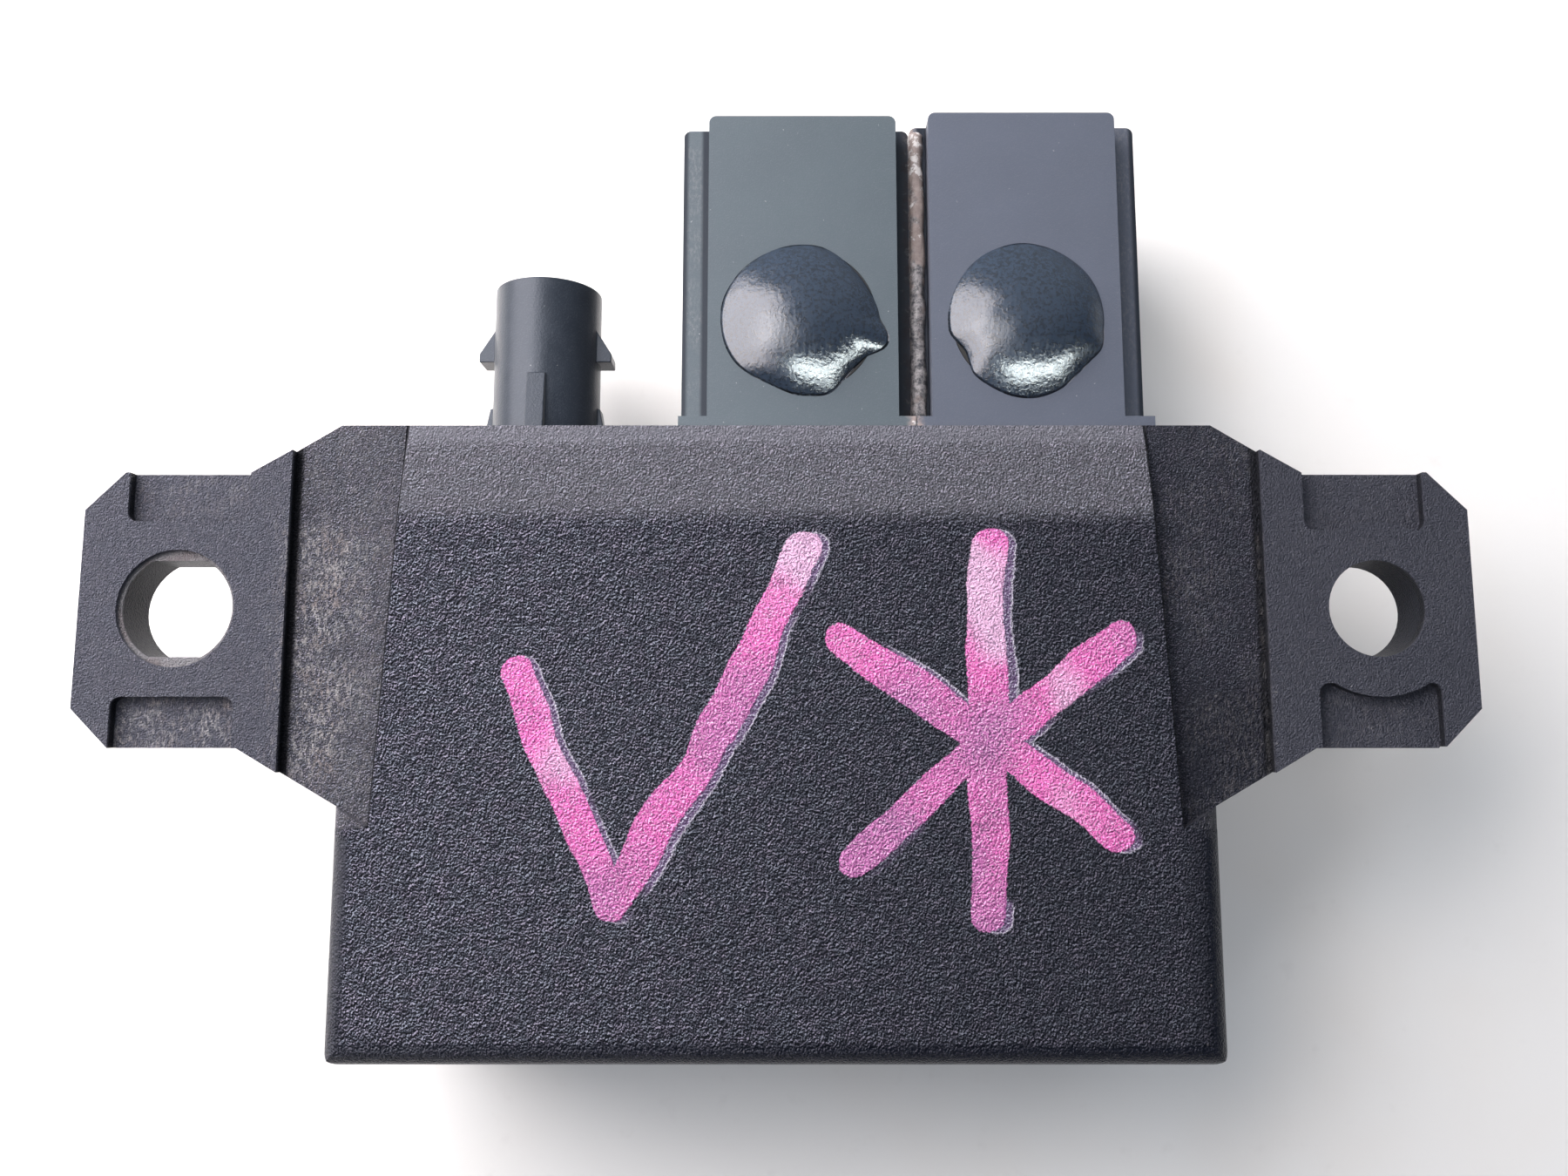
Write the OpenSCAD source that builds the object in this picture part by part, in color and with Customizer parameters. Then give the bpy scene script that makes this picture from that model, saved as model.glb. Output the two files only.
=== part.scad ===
// Twin ultrasonic distance sensor in a sealed housing with two mounting ears.
// It lies on its rear cover: +Z is the sensing direction, +Y points to the two towers, and the
// origin is on the rear face, midway between the mounting holes and on the line through them.

/* [Housing] */
// Width of the housing body
body_w = 90.2; // [87:0.2:120]
// Length of the housing body, from its plain end to its tower end
body_len = 65.2; // [60:0.2:100]
// Whole thickness, from the rear face to the front face
body_t = 28; // [26:0.2:40]
// Distance of the tower end from the line through the mounting holes
top_above_holes = 19.6; // [18:0.2:24]
// Thickness of the side walls
wall = 2.6; // [2:0.1:4]
// Thickness of the front wall
front_wall = 2.6; // [2:0.1:4]
// Radius of the two plain corners, seen from the front
corner_r = 2.2; // [1:0.1:5]
// Radius of the rounded front edges
edge_r = 2.2; // [1:0.1:5]
// Length of the sloping band at the tower end
slope_len = 9.4; // [4:0.1:14]
// Extra width of the plain end, on each side
side_step = 0.25; // [0:0.05:1]

/* [Mounting ears] */
// Distance between the two mounting holes
hole_spacing = 124; // [118:0.5:150]
// Diameter of the round locating hole
hole_d = 10; // [6:0.1:12]
// Length of the slotted hole along the housing
slot_len = 11.4; // [10.5:0.1:14]
// Diameter of the shallow recess round the slotted hole
recess_d = 12.2; // [11.6:0.1:14]
// Depth of that recess
recess_depth = 0.5; // [0.2:0.1:1]
// Thickness of the ears
ear_t = 5.5; // [4:0.1:8]
// Width of the ears across the hole
ear_w = 28.6; // [26:0.2:32]
// Distance from a hole to the outer end of its ear
ear_reach = 10; // [9:0.1:14]
// Size of the cut outer corners
ear_chamfer = 4; // [1:0.1:6]
// Distance from a hole to the step between its ear and the web
ear_root = 11.3; // [9:0.1:14]
// Width of the web at that step
web_w = 33.5; // [30:0.1:36]
// Height of the step from web to ear
web_step = 1; // [0.4:0.1:2]
// Width of the two pockets in each ear
pocket_w = 12.6; // [8:0.1:12.8]
// Depth of those pockets
pocket_depth = 1.2; // [0.5:0.1:2]
// Radius of the plain boss round each hole
boss_r = 9.1; // [8.2:0.1:10]

/* [Rear cover] */
// Thickness of the rear cover
cover_t = 3; // [2.6:0.1:5]
// Height of the locating rib inside the cover
rib_h = 2; // [1:0.1:3]
// Shank diameter of the cover screws
cover_screw_d = 3; // [2.5:0.1:3.5]
// Width of the cover seal
seal_w = 1; // [0.8:0.1:1.2]
// Thickness of the cover seal
seal_t = 0.8; // [0.6:0.1:1.2]

/* [Towers] */
// Width of one tower with its side rails
tower_w = 25.6; // [24:0.2:27]
// Width of its front panel
panel_w = 20.7; // [19:0.1:21]
// Width of the outer rail beside the panel
rail_w = 3.1; // [2:0.1:4]
// Height of a tower above its base flange
tower_h = 34.4; // [28:0.2:50]
// Depth of a tower from front panel to back panel
panel_depth = 22; // [21:0.2:24]
// Depth of a tower at its side rails
rail_depth = 15.4; // [12:0.2:18]
// Wall thickness of a tower
tower_wall = 1.8; // [1.2:0.1:2.4]
// Radius of the tower's upright edges and top corners
tower_r = 0.8; // [0.3:0.1:1.5]
// Thickness of the base flange
flange_t = 1.3; // [1.2:0.1:2.5]
// Depth of the base flange
flange_depth = 23; // [22:0.2:25]
// Distance of the tower pair from the side of the housing
pair_inset = 4.5; // [2:0.1:7]
// Extra height of the right tower
right_rise = 0.4; // [0:0.1:1]

/* [Transducers] */
// Outer diameter of the transducer can
can_d = 15; // [12.5:0.1:15.4]
// Length of the can
can_h = 10; // [9:0.1:12]
// Wall thickness of the can
can_wall = 1; // [0.8:0.1:1.4]
// Thickness of the sounding face
membrane_t = 0.6; // [0.4:0.1:1]
// Thickness of the rubber ring round the can
ring_t = 0.5; // [0.4:0.1:0.8]
// Height of the can's axis above the base flange
can_up = 10.9; // [10:0.1:24]
// Diameter of the sealant dome
dome_d = 17; // [16.2:0.1:18]
// Height of the sealant dome
dome_h = 2.8; // [1.5:0.1:4]
// Diameter of the piezo disc
piezo_d = 9; // [6:0.1:11]

/* [Connector] */
// Outer diameter of the connector tube
tube_d = 12.3; // [11:0.1:14.8]
// Wall thickness of the tube
tube_wall = 1.3; // [1:0.1:1.6]
// Height of the tube above the housing
tube_h = 19.1; // [17:0.1:30]
// Depth of the plug recess
socket_depth = 14.6; // [13:0.1:16]
// Diameter of the pins
pin_d = 1.5; // [1:0.1:2]
// Distance between the pins
pin_pitch = 4; // [3:0.1:5]
// Bare length of the pins in the recess
pin_reach = 9; // [6:0.1:9.5]
// Gap from the tube to the tower pair
tube_gap = 10.3; // [6:0.1:13]

/* [Circuit board] */
// Gap from the board to each side wall
board_side_gap = 8.75; // [8.25:0.05:11]
// Length of the board
board_len = 50.5; // [48:0.5:52]
// Thickness of the board
board_t = 1.6; // [1:0.1:2]
// Gap from the rear face to the board
board_up = 9.4; // [8.8:0.1:11]
// Shank diameter of the board screws
board_screw_d = 2.4; // [2:0.1:2.6]

/* [Hidden] */
$fn = 64;
eps = 0.01;
fit_gap = 0.05;
slide_gap = 0.15;

// Levels, measured from the rear face
front_z = body_t;
web_z = front_z - web_step;
ear_back_z = front_z - ear_t;
inner_z = front_z - front_wall;
axis_z = cover_t + 11.5;

// Housing outline
top_y = top_above_holes;
end_y = top_y - body_len;
half_w = body_w / 2;
inner_half = half_w - side_step - wall;
inner_end = end_y + wall;
inner_top = top_y - wall;
slope_y = top_y - slope_len;
slope_knee = 0.67;

// Ears and webs, as drawn for the right side
hole_x = hole_spacing / 2;
ear_end = hole_x + ear_reach;
root_x = hole_x - ear_root;
shoulder_run = 4.2;
shoulder_x = root_x + shoulder_run;
crease_in_top = 6.1;
crease_in_low = 3.9;
crease_top = half_w - crease_in_top;
crease_low = half_w - crease_in_low;
web_low = -22.2;
web_overhang = 0.9;
web_top_x = half_w + web_overhang;
parting_drop = 0.3;
step_y = web_low - parting_drop;
gusset_y = 11;
gusset_t = 2;
gusset_h = 13;
pocket_r = 1;
pocket_in = 0.75;
pocket_in_low = 0.15;
pocket_in_left = 0.3;
boss_show = 0.9;
boss_show_low = 1.4;

// Rear cover and its screws
boss_out_r = 3.4;
boss_in = boss_out_r - 0.4;
boss_x = inner_half - boss_in;
boss_low = inner_end + boss_in;
boss_high = inner_top - boss_in;
boss_pts = [[-boss_x, boss_low], [boss_x, boss_low], [-boss_x, boss_high], [boss_x, boss_high]];
head_r = cover_screw_d * 0.95;
head_t = 1.7;
cover_screw_len = 12;
seal_in = (wall - seal_w) / 2;
field_in = 24;
groove_w = 0.8;
groove_depth = 0.4;

// Towers: [side, axis position across the housing]
pair_end = half_w - pair_inset;
split_x = pair_end - tower_w;
flange_top = top_y + flange_t;
inner_rail = tower_w - panel_w - rail_w;
panel_mid = inner_rail + panel_w / 2;
left_x = split_x - panel_mid;
right_x = split_x + panel_mid;
panel_front = axis_z + panel_depth / 2;
cavity_w = panel_w - 2 * tower_wall;
cavity_depth = panel_depth - 2 * tower_wall;
cavity_front = panel_front - tower_wall;
neck_w = cavity_w - 0.4;
neck_depth = 14;
neck_wall = 1.2;
neck_len = wall + 1.4;
gasket_w = 1.4;
gasket_t = 0.6;
gasket_out = 1.9;

// Transducers
can_y = flange_top + can_up;
can_r = can_d / 2;
can_back = panel_front - can_h;
can_bore = can_r - can_wall;
port_r = can_r + ring_t + 2 * fit_gap;
ring_len = 4;
piezo_t = 0.5;
foam_t = 3;
disc_t = 1;
pad_r = 3.5;
pad_up = 1.5;
lead_r = 0.6;
lead_dx = 1.8;
lead_down = 4.5;
lead_z = can_back - 2.5;

// Connector
tube_r = tube_d / 2;
tube_x = split_x - tower_w - tube_gap - tube_r;
tube_end = top_y + tube_h;
socket_r = tube_r - tube_wall;
socket_floor = tube_end - socket_depth;
collar_t = 1.2;
collar_r = tube_r + 1.25;
plug_r = tube_r - 0.75;
plug_len = wall + 1.2;
gland_t = 1.2;
gland_w = 1.1;
tab_out = 1.55;
tab_w = 3.4;
tab_y = tube_end - 8.6;

// Circuit board
board_w = 2 * (inner_half - board_side_gap);
board_top = board_up + board_t;
board_high = inner_top - 4.5;
board_low = board_high - board_len;
land_y = board_high - 3;
post_x = board_w / 2 - 3.3;
post_low = board_low + 4;
post_high = board_high - 11.5;
post_pts = [[-post_x, post_low], [post_x, post_low], [-post_x, post_high], [post_x, post_high]];
post_r = 2.6;
board_screw_len = 6;
board_mid = (board_low + board_high) / 2;

// Places of the parts on the board, Y measured from its middle
processor_at = [-4, -2];
transformer_x = [post_x - 27.3, post_x - 8.7];
transformer_y = 9;
amplifier_x = [post_x - 27.3, post_x - 6.2];
amplifier_y = 12;
transceiver_x = tube_x + 6;
capacitor_x = [-20, -8];
capacitor_y = -13;
regulator_at = [-20, 2];
crystal_at = [8, -12];
chip_rows_at = [18, -15];

// ---------- shared shapes ----------

// Square-ended block from one corner to the opposite one
module block(low, high) {
    translate(low)
        cube(high - low);
}

// Rectangle with all four corners rounded
module round_rect(w, h, r) {
    square([w - 2 * r, h], center = true);
    square([w, h - 2 * r], center = true);
    for (x = [-1, 1])
        for (y = [-1, 1])
            translate([x * (w / 2 - r), y * (h / 2 - r)])
                circle(r);
}

// Extrusion along +X of a shape drawn in Y and Z
module extrude_x(from, to) {
    translate([from, 0, 0])
        rotate([90, 0, 90])
            linear_extrude(to - from)
                children();
}

// Extrusion along +Y of a shape drawn in X and Z
module extrude_y(from, to) {
    translate([0, to, 0])
        rotate([90, 0, 0])
            linear_extrude(to - from)
                children();
}

// Cylinder along +Z between two levels
module post(x, y, low, high, r) {
    translate([x, y, low])
        cylinder(h = high - low, r = r);
}

// Cylinder along +Y between two levels
module rod_y(x, z, low, high, r) {
    translate([x, low, z])
        rotate([-90, 0, 0])
            cylinder(h = high - low, r = r);
}

// Wire with round elbows through a list of points
module wire(points, r) {
    for (i = [0 : len(points) - 2]) {
        run = points[i + 1] - points[i];
        length = norm(run);
        turn = atan2(run[1], run[0]);
        tilt = acos(run[2] / length);
        translate(points[i])
            rotate([0, tilt, turn])
                cylinder(h = length, r = r, $fn = 24);
    }
    for (i = [1 : len(points) - 2])
        translate(points[i])
            sphere(r, $fn = 24);
}

// Screw with a cross recess, its head underside at z = 0 and its shank along +Z
module screw(d, length, head_radius, head_height) {
    difference() {
        union() {
            translate([0, 0, -head_height])
                cylinder(h = head_height, r = head_radius);
            translate([0, 0, -eps])
                cylinder(h = length + eps - 0.5, r = d / 2);
            translate([0, 0, length - 0.5])
                cylinder(h = 0.5, r1 = d / 2, r2 = d / 2 - 0.4);
        }
        translate([0, 0, -head_height])
            for (a = [0, 90])
                rotate([0, 0, a])
                    cube([head_radius * 1.2, 0.7, head_height * 1.2], center = true);
    }
}

// ---------- housing ----------

// Outline seen from the front, shrunk by inset on every side
module plan(inset) {
    w = body_w - 2 * inset;
    r = max(corner_r - inset, 0.4);
    low = end_y + inset;
    translate([-w / 2, low + r])
        square([w, step_y - low - r]);
    translate([-w / 2 + r, low])
        square([w - 2 * r, 2 * r]);
    for (side = [-1, 1])
        translate([side * (w / 2 - r), low + r])
            circle(r);
    translate([-w / 2 + side_step, step_y - 1])
        square([w - 2 * side_step, top_y - inset - step_y + 1]);
}

// Outline seen from the side, with the rounded end and the two-stage slope
module side_profile() {
    knee_y = slope_y + slope_len * slope_knee;
    knee_drop = web_step * slope_knee * 0.85;
    polygon([
        [end_y, cover_t],
        [top_y, cover_t],
        [top_y, front_z - web_step],
        [knee_y, front_z - knee_drop],
        [slope_y, front_z],
        [end_y + edge_r, front_z],
        [end_y, front_z - edge_r],
    ]);
    translate([end_y + edge_r, front_z - edge_r])
        circle(edge_r);
}

// Outline seen from the end, with both front edges rounded
module end_profile() {
    polygon([
        [-half_w, cover_t],
        [half_w, cover_t],
        [half_w, front_z - edge_r],
        [half_w - edge_r, front_z],
        [-half_w + edge_r, front_z],
        [-half_w, front_z - edge_r],
    ]);
    for (side = [-1, 1])
        translate([side * (half_w - edge_r), front_z - edge_r])
            circle(edge_r);
}

// Region of the right web, seen from the front
module web_outline() {
    polygon([
        [crease_top, top_y],
        [web_top_x, top_y],
        [root_x, web_w / 2],
        [root_x, -web_w / 2],
        [crease_low, web_low],
    ]);
}

// Region of the right ear, seen from the front
module ear_outline() {
    polygon([
        [root_x, web_w / 2],
        [shoulder_x, ear_w / 2],
        [ear_end - ear_chamfer, ear_w / 2],
        [ear_end, ear_w / 2 - ear_chamfer],
        [ear_end, -ear_w / 2 + ear_chamfer],
        [ear_end - ear_chamfer, -ear_w / 2],
        [shoulder_x, -ear_w / 2],
        [root_x, -web_w / 2],
    ]);
}

// Pocket between the boss round a hole and one long edge of the ear
module ear_pocket(hole_at, from_y, round_boss) {
    reach = ear_w / 2 + 1 - from_y;
    translate([0, 0, front_z - pocket_depth])
        linear_extrude(pocket_depth + 1)
            difference() {
                translate([hole_at, from_y + reach / 2 + pocket_r])
                    round_rect(pocket_w, reach + 2 * pocket_r, pocket_r);
                if (round_boss)
                    translate([hole_x, 0])
                        circle(boss_r);
            }
}

// Slotted hole: a round hole narrowed by two flats
module slot_cut() {
    linear_extrude(body_t + 1)
        intersection() {
            circle(slot_len / 2);
            square([slot_len + 1, hole_d], center = true);
        }
    translate([0, 0, front_z - recess_depth])
        cylinder(h = 1, r = recess_d / 2);
}

module housing_body() {
    difference() {
        intersection() {
            translate([0, 0, cover_t])
                linear_extrude(body_t)
                    plan(0);
            extrude_x(-half_w - 1, half_w + 1)
                side_profile();
            extrude_y(end_y - 1, top_y + 1)
                end_profile();
        }
        for (side = [0, 1])
            mirror([side, 0, 0])
                translate([0, 0, web_z])
                    linear_extrude(web_step + 1)
                        polygon([
                            [crease_top, top_y],
                            [crease_top, top_y + 1],
                            [root_x, top_y + 1],
                            [root_x, -web_w / 2],
                            [crease_low, web_low],
                        ]);
    }
}

// Gusset under a web, standing on the side wall
module gusset(y) {
    extrude_y(y - gusset_t / 2, y + gusset_t / 2)
        polygon([
            [half_w - 1, ear_back_z + 1],
            [root_x + 2, ear_back_z + 1],
            [root_x + 2, ear_back_z - 1],
            [half_w - 1, ear_back_z - gusset_h],
        ]);
}

module housing_cavity() {
    translate([0, 0, cover_t - 1])
        linear_extrude(inner_z - cover_t + 1)
            plan(wall);
}

module tower_openings() {
    for (x = [left_x, right_x])
        extrude_y(inner_top - 1, top_y + 1)
            translate([x, axis_z])
                square([neck_w + 2 * slide_gap, neck_depth + 2 * slide_gap], center = true);
}

module front_housing() {
    color([0.13, 0.135, 0.16])
    difference() {
        union() {
            difference() {
                union() {
                    housing_body();
                    for (side = [0, 1])
                        mirror([side, 0, 0]) {
                            translate([0, 0, ear_back_z])
                                linear_extrude(ear_t - web_step)
                                    web_outline();
                            translate([0, 0, ear_back_z])
                                linear_extrude(ear_t)
                                    ear_outline();
                            for (y = [-gusset_y, gusset_y])
                                gusset(y);
                        }
                }
                housing_cavity();
            }
            for (p = boss_pts)
                post(p[0], p[1], cover_t, inner_z + eps, boss_out_r);
            for (p = post_pts)
                post(p[0], p[1], board_top, inner_z + eps, post_r);
        }
        post(hole_x, 0, 0, front_z + 1, hole_d / 2);
        translate([-hole_x, 0, 0])
            slot_cut();
        ear_pocket(hole_x - pocket_in, boss_r - boss_show, true);
        mirror([0, 1, 0])
            ear_pocket(hole_x - pocket_in_low, boss_r - boss_show_low, true);
        mirror([1, 0, 0]) {
            ear_pocket(hole_x - pocket_in, boss_r, false);
            mirror([0, 1, 0])
                ear_pocket(hole_x - pocket_in_left, boss_r, false);
        }
        for (p = boss_pts)
            post(p[0], p[1], cover_t - 1, cover_t + cover_screw_len, cover_screw_d / 2 + fit_gap);
        for (p = post_pts)
            post(p[0], p[1], board_up, board_up + board_screw_len + 1, board_screw_d / 2 + fit_gap);
        tower_openings();
        rod_y(tube_x, axis_z, inner_top - 1, top_y + 1, plug_r + fit_gap);
        rod_y(tube_x, axis_z, top_y - gland_t - fit_gap, top_y + 1, plug_r + gland_w + 2 * fit_gap);
    }
}

module rear_cover() {
    color([0.12, 0.12, 0.14])
    difference() {
        union() {
            linear_extrude(cover_t)
                plan(0);
            translate([0, 0, cover_t - eps])
                linear_extrude(rib_h + eps)
                    difference() {
                        plan(wall + slide_gap);
                        plan(wall + slide_gap + 1.2);
                        for (p = boss_pts)
                            translate(p)
                                circle(boss_out_r + 0.4);
                    }
        }
        translate([0, 0, cover_t - seal_t])
            linear_extrude(seal_t + 1)
                difference() {
                    plan(seal_in - fit_gap);
                    plan(seal_in + seal_w + fit_gap);
                }
        for (p = boss_pts) {
            post(p[0], p[1], -1, cover_t + rib_h + 1, cover_screw_d / 2 + slide_gap);
            post(p[0], p[1], -1, head_t + 0.1, head_r + slide_gap);
        }
        translate([0, (end_y + top_y) / 2, -1])
            linear_extrude(1 + groove_depth)
                difference() {
                    round_rect(body_w - field_in, body_len - field_in, 2.5);
                    round_rect(body_w - field_in - 2 * groove_w, body_len - field_in - 2 * groove_w, 2);
                }
    }
}

module cover_seal() {
    color([0.07, 0.07, 0.07])
    translate([0, 0, cover_t - seal_t])
        linear_extrude(seal_t)
            difference() {
                plan(seal_in);
                plan(seal_in + seal_w);
            }
}

module cover_screws() {
    color([0.62, 0.62, 0.6])
    for (p = boss_pts)
        translate([p[0], p[1], head_t + 0.1])
            screw(cover_screw_d, cover_screw_len - 1.5, head_r, head_t);
}

// ---------- towers ----------

// Tower drawn for the left side, with its outer rail at -X
module tower_shell(height) {
    top = flange_top + height;
    difference() {
        union() {
            translate([split_x - tower_w / 2, (flange_top + top) / 2, axis_z])
                linear_extrude(rail_depth, center = true)
                    round_rect(tower_w - 0.1, height, tower_r);
            translate([left_x, (flange_top + top) / 2, axis_z])
                linear_extrude(panel_depth, center = true)
                    round_rect(panel_w, height, tower_r);
            extrude_y(flange_top - eps, flange_top + height / 2)
                translate([left_x, axis_z])
                    square([panel_w, panel_depth], center = true);
            extrude_y(flange_top - eps, flange_top + height / 2)
                translate([split_x - tower_w / 2, axis_z])
                    square([tower_w - 0.1, rail_depth], center = true);
            extrude_y(top_y, flange_top)
                translate([split_x - tower_w / 2, axis_z])
                    square([tower_w - 0.1, flange_depth], center = true);
            extrude_y(top_y - neck_len, top_y + eps)
                translate([left_x, axis_z])
                    square([neck_w, neck_depth], center = true);
        }
        extrude_y(flange_top + 0.8, top - tower_wall)
            translate([left_x, axis_z])
                square([cavity_w, cavity_depth], center = true);
        extrude_y(top_y - neck_len - 1, flange_top + 1)
            translate([left_x, axis_z])
                square([neck_w - 2 * neck_wall, neck_depth - 2 * neck_wall], center = true);
        extrude_y(top_y - 1, top_y + gasket_t)
            translate([left_x, axis_z])
                gasket_outline(fit_gap);
        post(left_x, can_y, axis_z, panel_front + 1, port_r);
    }
}

// Gasket ring seen along the tower, grown by extra on both edges
module gasket_outline(extra) {
    grow = 2 * extra;
    difference() {
        square([neck_w + 2 * gasket_out + grow, neck_depth + 2 * gasket_out + grow], center = true);
        square([neck_w + 2 * (gasket_out - gasket_w) - grow,
                neck_depth + 2 * (gasket_out - gasket_w) - grow], center = true);
    }
}

// Places a right-hand piece as the mirror image of the left-hand one
module on_right() {
    translate([2 * split_x, 0, 0])
        mirror([1, 0, 0])
            children();
}

module left_tower() {
    color([0.2, 0.21, 0.24])
    tower_shell(tower_h);
}

module right_tower() {
    color([0.2, 0.21, 0.24])
    on_right()
        tower_shell(tower_h + right_rise);
}

module tower_gasket() {
    color([0.08, 0.08, 0.09])
    extrude_y(top_y, top_y + gasket_t)
        translate([left_x, axis_z])
            gasket_outline(0);
}

// Domed sealant over the sounding face: a spherical cap standing on the front panel
module sealant_dome() {
    r = (dome_d * dome_d / 4 + dome_h * dome_h) / (2 * dome_h);
    color([0.04, 0.045, 0.05])
    translate([left_x, can_y, panel_front])
        rotate_extrude()
            intersection() {
                translate([0, dome_h - r])
                    circle(r, $fn = 96);
                square([dome_d / 2, dome_h + 1]);
            }
}

// ---------- transducer ----------

module transducer_can() {
    color([0.75, 0.76, 0.78])
    difference() {
        post(left_x, can_y, can_back, panel_front, can_r);
        post(left_x, can_y, can_back - 1, panel_front - membrane_t, can_bore);
    }
}

module rubber_ring() {
    ring_low = panel_front - ring_len;
    color([0.1, 0.1, 0.1])
    difference() {
        union() {
            post(left_x, can_y, ring_low, panel_front, can_r + fit_gap + ring_t);
            post(left_x, can_y, ring_low, cavity_front - fit_gap, can_r + fit_gap + ring_t + 0.4);
        }
        post(left_x, can_y, ring_low - 1, panel_front + 1, can_r + fit_gap);
    }
}

module piezo_disc() {
    face = panel_front - membrane_t;
    color([0.85, 0.72, 0.4])
    post(left_x, can_y, face - piezo_t, face, piezo_d / 2);
}

module damping_foam() {
    face = panel_front - membrane_t - piezo_t;
    color([0.3, 0.3, 0.32])
    post(left_x, can_y, face - foam_t, face, can_bore - slide_gap);
}

module terminal_disc() {
    face = panel_front - membrane_t - piezo_t - foam_t;
    color([0.15, 0.4, 0.2])
    post(left_x, can_y, face - disc_t, face, can_bore - fit_gap);
}

module can_potting() {
    face = panel_front - membrane_t - piezo_t - foam_t - disc_t;
    color([0.55, 0.55, 0.5])
    post(left_x, can_y, can_back, face, can_bore - fit_gap);
}

module support_pad() {
    low = panel_front - panel_depth + tower_wall;
    color([0.25, 0.25, 0.27])
    post(left_x, can_y + pad_up, low, can_back, pad_r);
}

// Two insulated leads from the can, through the tower's neck, to the board
module leads(x_at) {
    start_y = can_y - lead_down;
    color([0.7, 0.12, 0.1])
    for (side = [-1, 1])
        wire([
            [x_at + side * lead_dx, start_y, can_back],
            [x_at + side * lead_dx, start_y, lead_z],
            [x_at + side * lead_dx, land_y, lead_z],
            [x_at + side * lead_dx, land_y, board_top],
        ], lead_r);
}

// ---------- connector ----------

// Buttress on the tube's root: angle round the tube, length along it
module tube_rib(angle, length) {
    rib_w = 2.1;
    low = top_y + collar_t - eps;
    translate([tube_x, 0, axis_z])
        rotate([0, angle, 0])
            extrude_x(-rib_w / 2, rib_w / 2)
                polygon([
                    [low, socket_r + 0.4],
                    [low + length, socket_r + 0.4],
                    [low + length, tube_r + 0.25],
                    [low, tube_r + 1],
                ]);
}

// Locking tab on one side of the tube, with a lead-in ramp and a square catch face
module lock_tab() {
    translate([0, 0, axis_z - tab_w / 2])
        linear_extrude(tab_w)
            polygon([
                [tube_r - 0.6, tab_y],
                [tube_r + tab_out, tab_y],
                [tube_r + tab_out, tab_y + 1],
                [tube_r - 0.6, tab_y + 4.4],
            ]);
}

module connector_shroud() {
    color([0.17, 0.18, 0.22])
    difference() {
        union() {
            rod_y(tube_x, axis_z, top_y, tube_end, tube_r);
            rod_y(tube_x, axis_z, top_y, top_y + collar_t, collar_r);
            rod_y(tube_x, axis_z, top_y - plug_len, top_y + eps, plug_r);
            tube_rib(0, 6.6);
            for (angle = [90, 180, 270])
                tube_rib(angle, 3.9);
            translate([tube_x, 0, 0])
                lock_tab();
            translate([tube_x, 0, 0])
                mirror([1, 0, 0])
                    lock_tab();
        }
        rod_y(tube_x, axis_z, socket_floor, tube_end + 1, socket_r);
        for (side = [-1, 1])
            rod_y(tube_x + side * pin_pitch / 2, axis_z, top_y - plug_len - 1, socket_floor + 1,
                  pin_d / 2 + fit_gap);
    }
}

module connector_seal() {
    color([0.5, 0.2, 0.12])
    difference() {
        rod_y(tube_x, axis_z, top_y - gland_t, top_y, plug_r + fit_gap + gland_w);
        rod_y(tube_x, axis_z, top_y - gland_t - 1, top_y + 1, plug_r + fit_gap);
    }
}

// Round pins that turn down through the board
module connector_pins() {
    color([0.8, 0.66, 0.3])
    for (side = [-1, 1])
        wire([
            [tube_x + side * pin_pitch / 2, socket_floor + pin_reach, axis_z],
            [tube_x + side * pin_pitch / 2, land_y, axis_z],
            [tube_x + side * pin_pitch / 2, land_y, board_up - 1],
        ], pin_d / 2);
}

// ---------- circuit board ----------

module circuit_board() {
    color([0.08, 0.35, 0.18])
    difference() {
        block([-board_w / 2, board_low, board_up], [board_w / 2, board_high, board_top]);
        for (p = post_pts)
            post(p[0], p[1], board_up - 1, board_top + 1, board_screw_d / 2 + slide_gap);
        for (side = [-1, 1])
            post(tube_x + side * pin_pitch / 2, land_y, board_up - 1, board_top + 1,
                 pin_d / 2 + fit_gap);
    }
}

module board_screws() {
    color([0.6, 0.6, 0.58])
    for (p = post_pts)
        translate([p[0], p[1], board_up])
            screw(board_screw_d, board_screw_len, board_screw_d * 0.95, 1.4);
}

// Chip under the board: body size, pins per side and pin pitch; four_sided adds the other two rows
module chip(w, l, h, pins, pitch, four_sided) {
    pin_w = pitch * 0.45;
    translate([-w / 2, -l / 2, -h])
        cube([w, l, h - 0.1]);
    for (turn = four_sided ? [0, 90, 180, 270] : [0, 180])
        rotate([0, 0, turn])
            for (i = [0 : pins - 1])
                translate([(i - (pins - 1) / 2) * pitch - pin_w / 2, l / 2 - 0.3, -0.35])
                    cube([pin_w, 1.2, 0.35]);
}

module microcontroller() {
    color([0.1, 0.1, 0.1])
    translate([processor_at[0], board_mid + processor_at[1], board_up])
        chip(10, 10, 1.4, 11, 0.8, true);
}

module echo_amplifiers() {
    color([0.11, 0.11, 0.11])
    for (x = amplifier_x)
        translate([x, board_mid + amplifier_y, board_up])
            chip(4.9, 3.9, 1.5, 4, 1.27, false);
}

module bus_transceiver() {
    color([0.11, 0.11, 0.11])
    translate([transceiver_x, board_mid + amplifier_y, board_up])
        chip(4.9, 3.9, 1.5, 4, 1.27, false);
}

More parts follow.
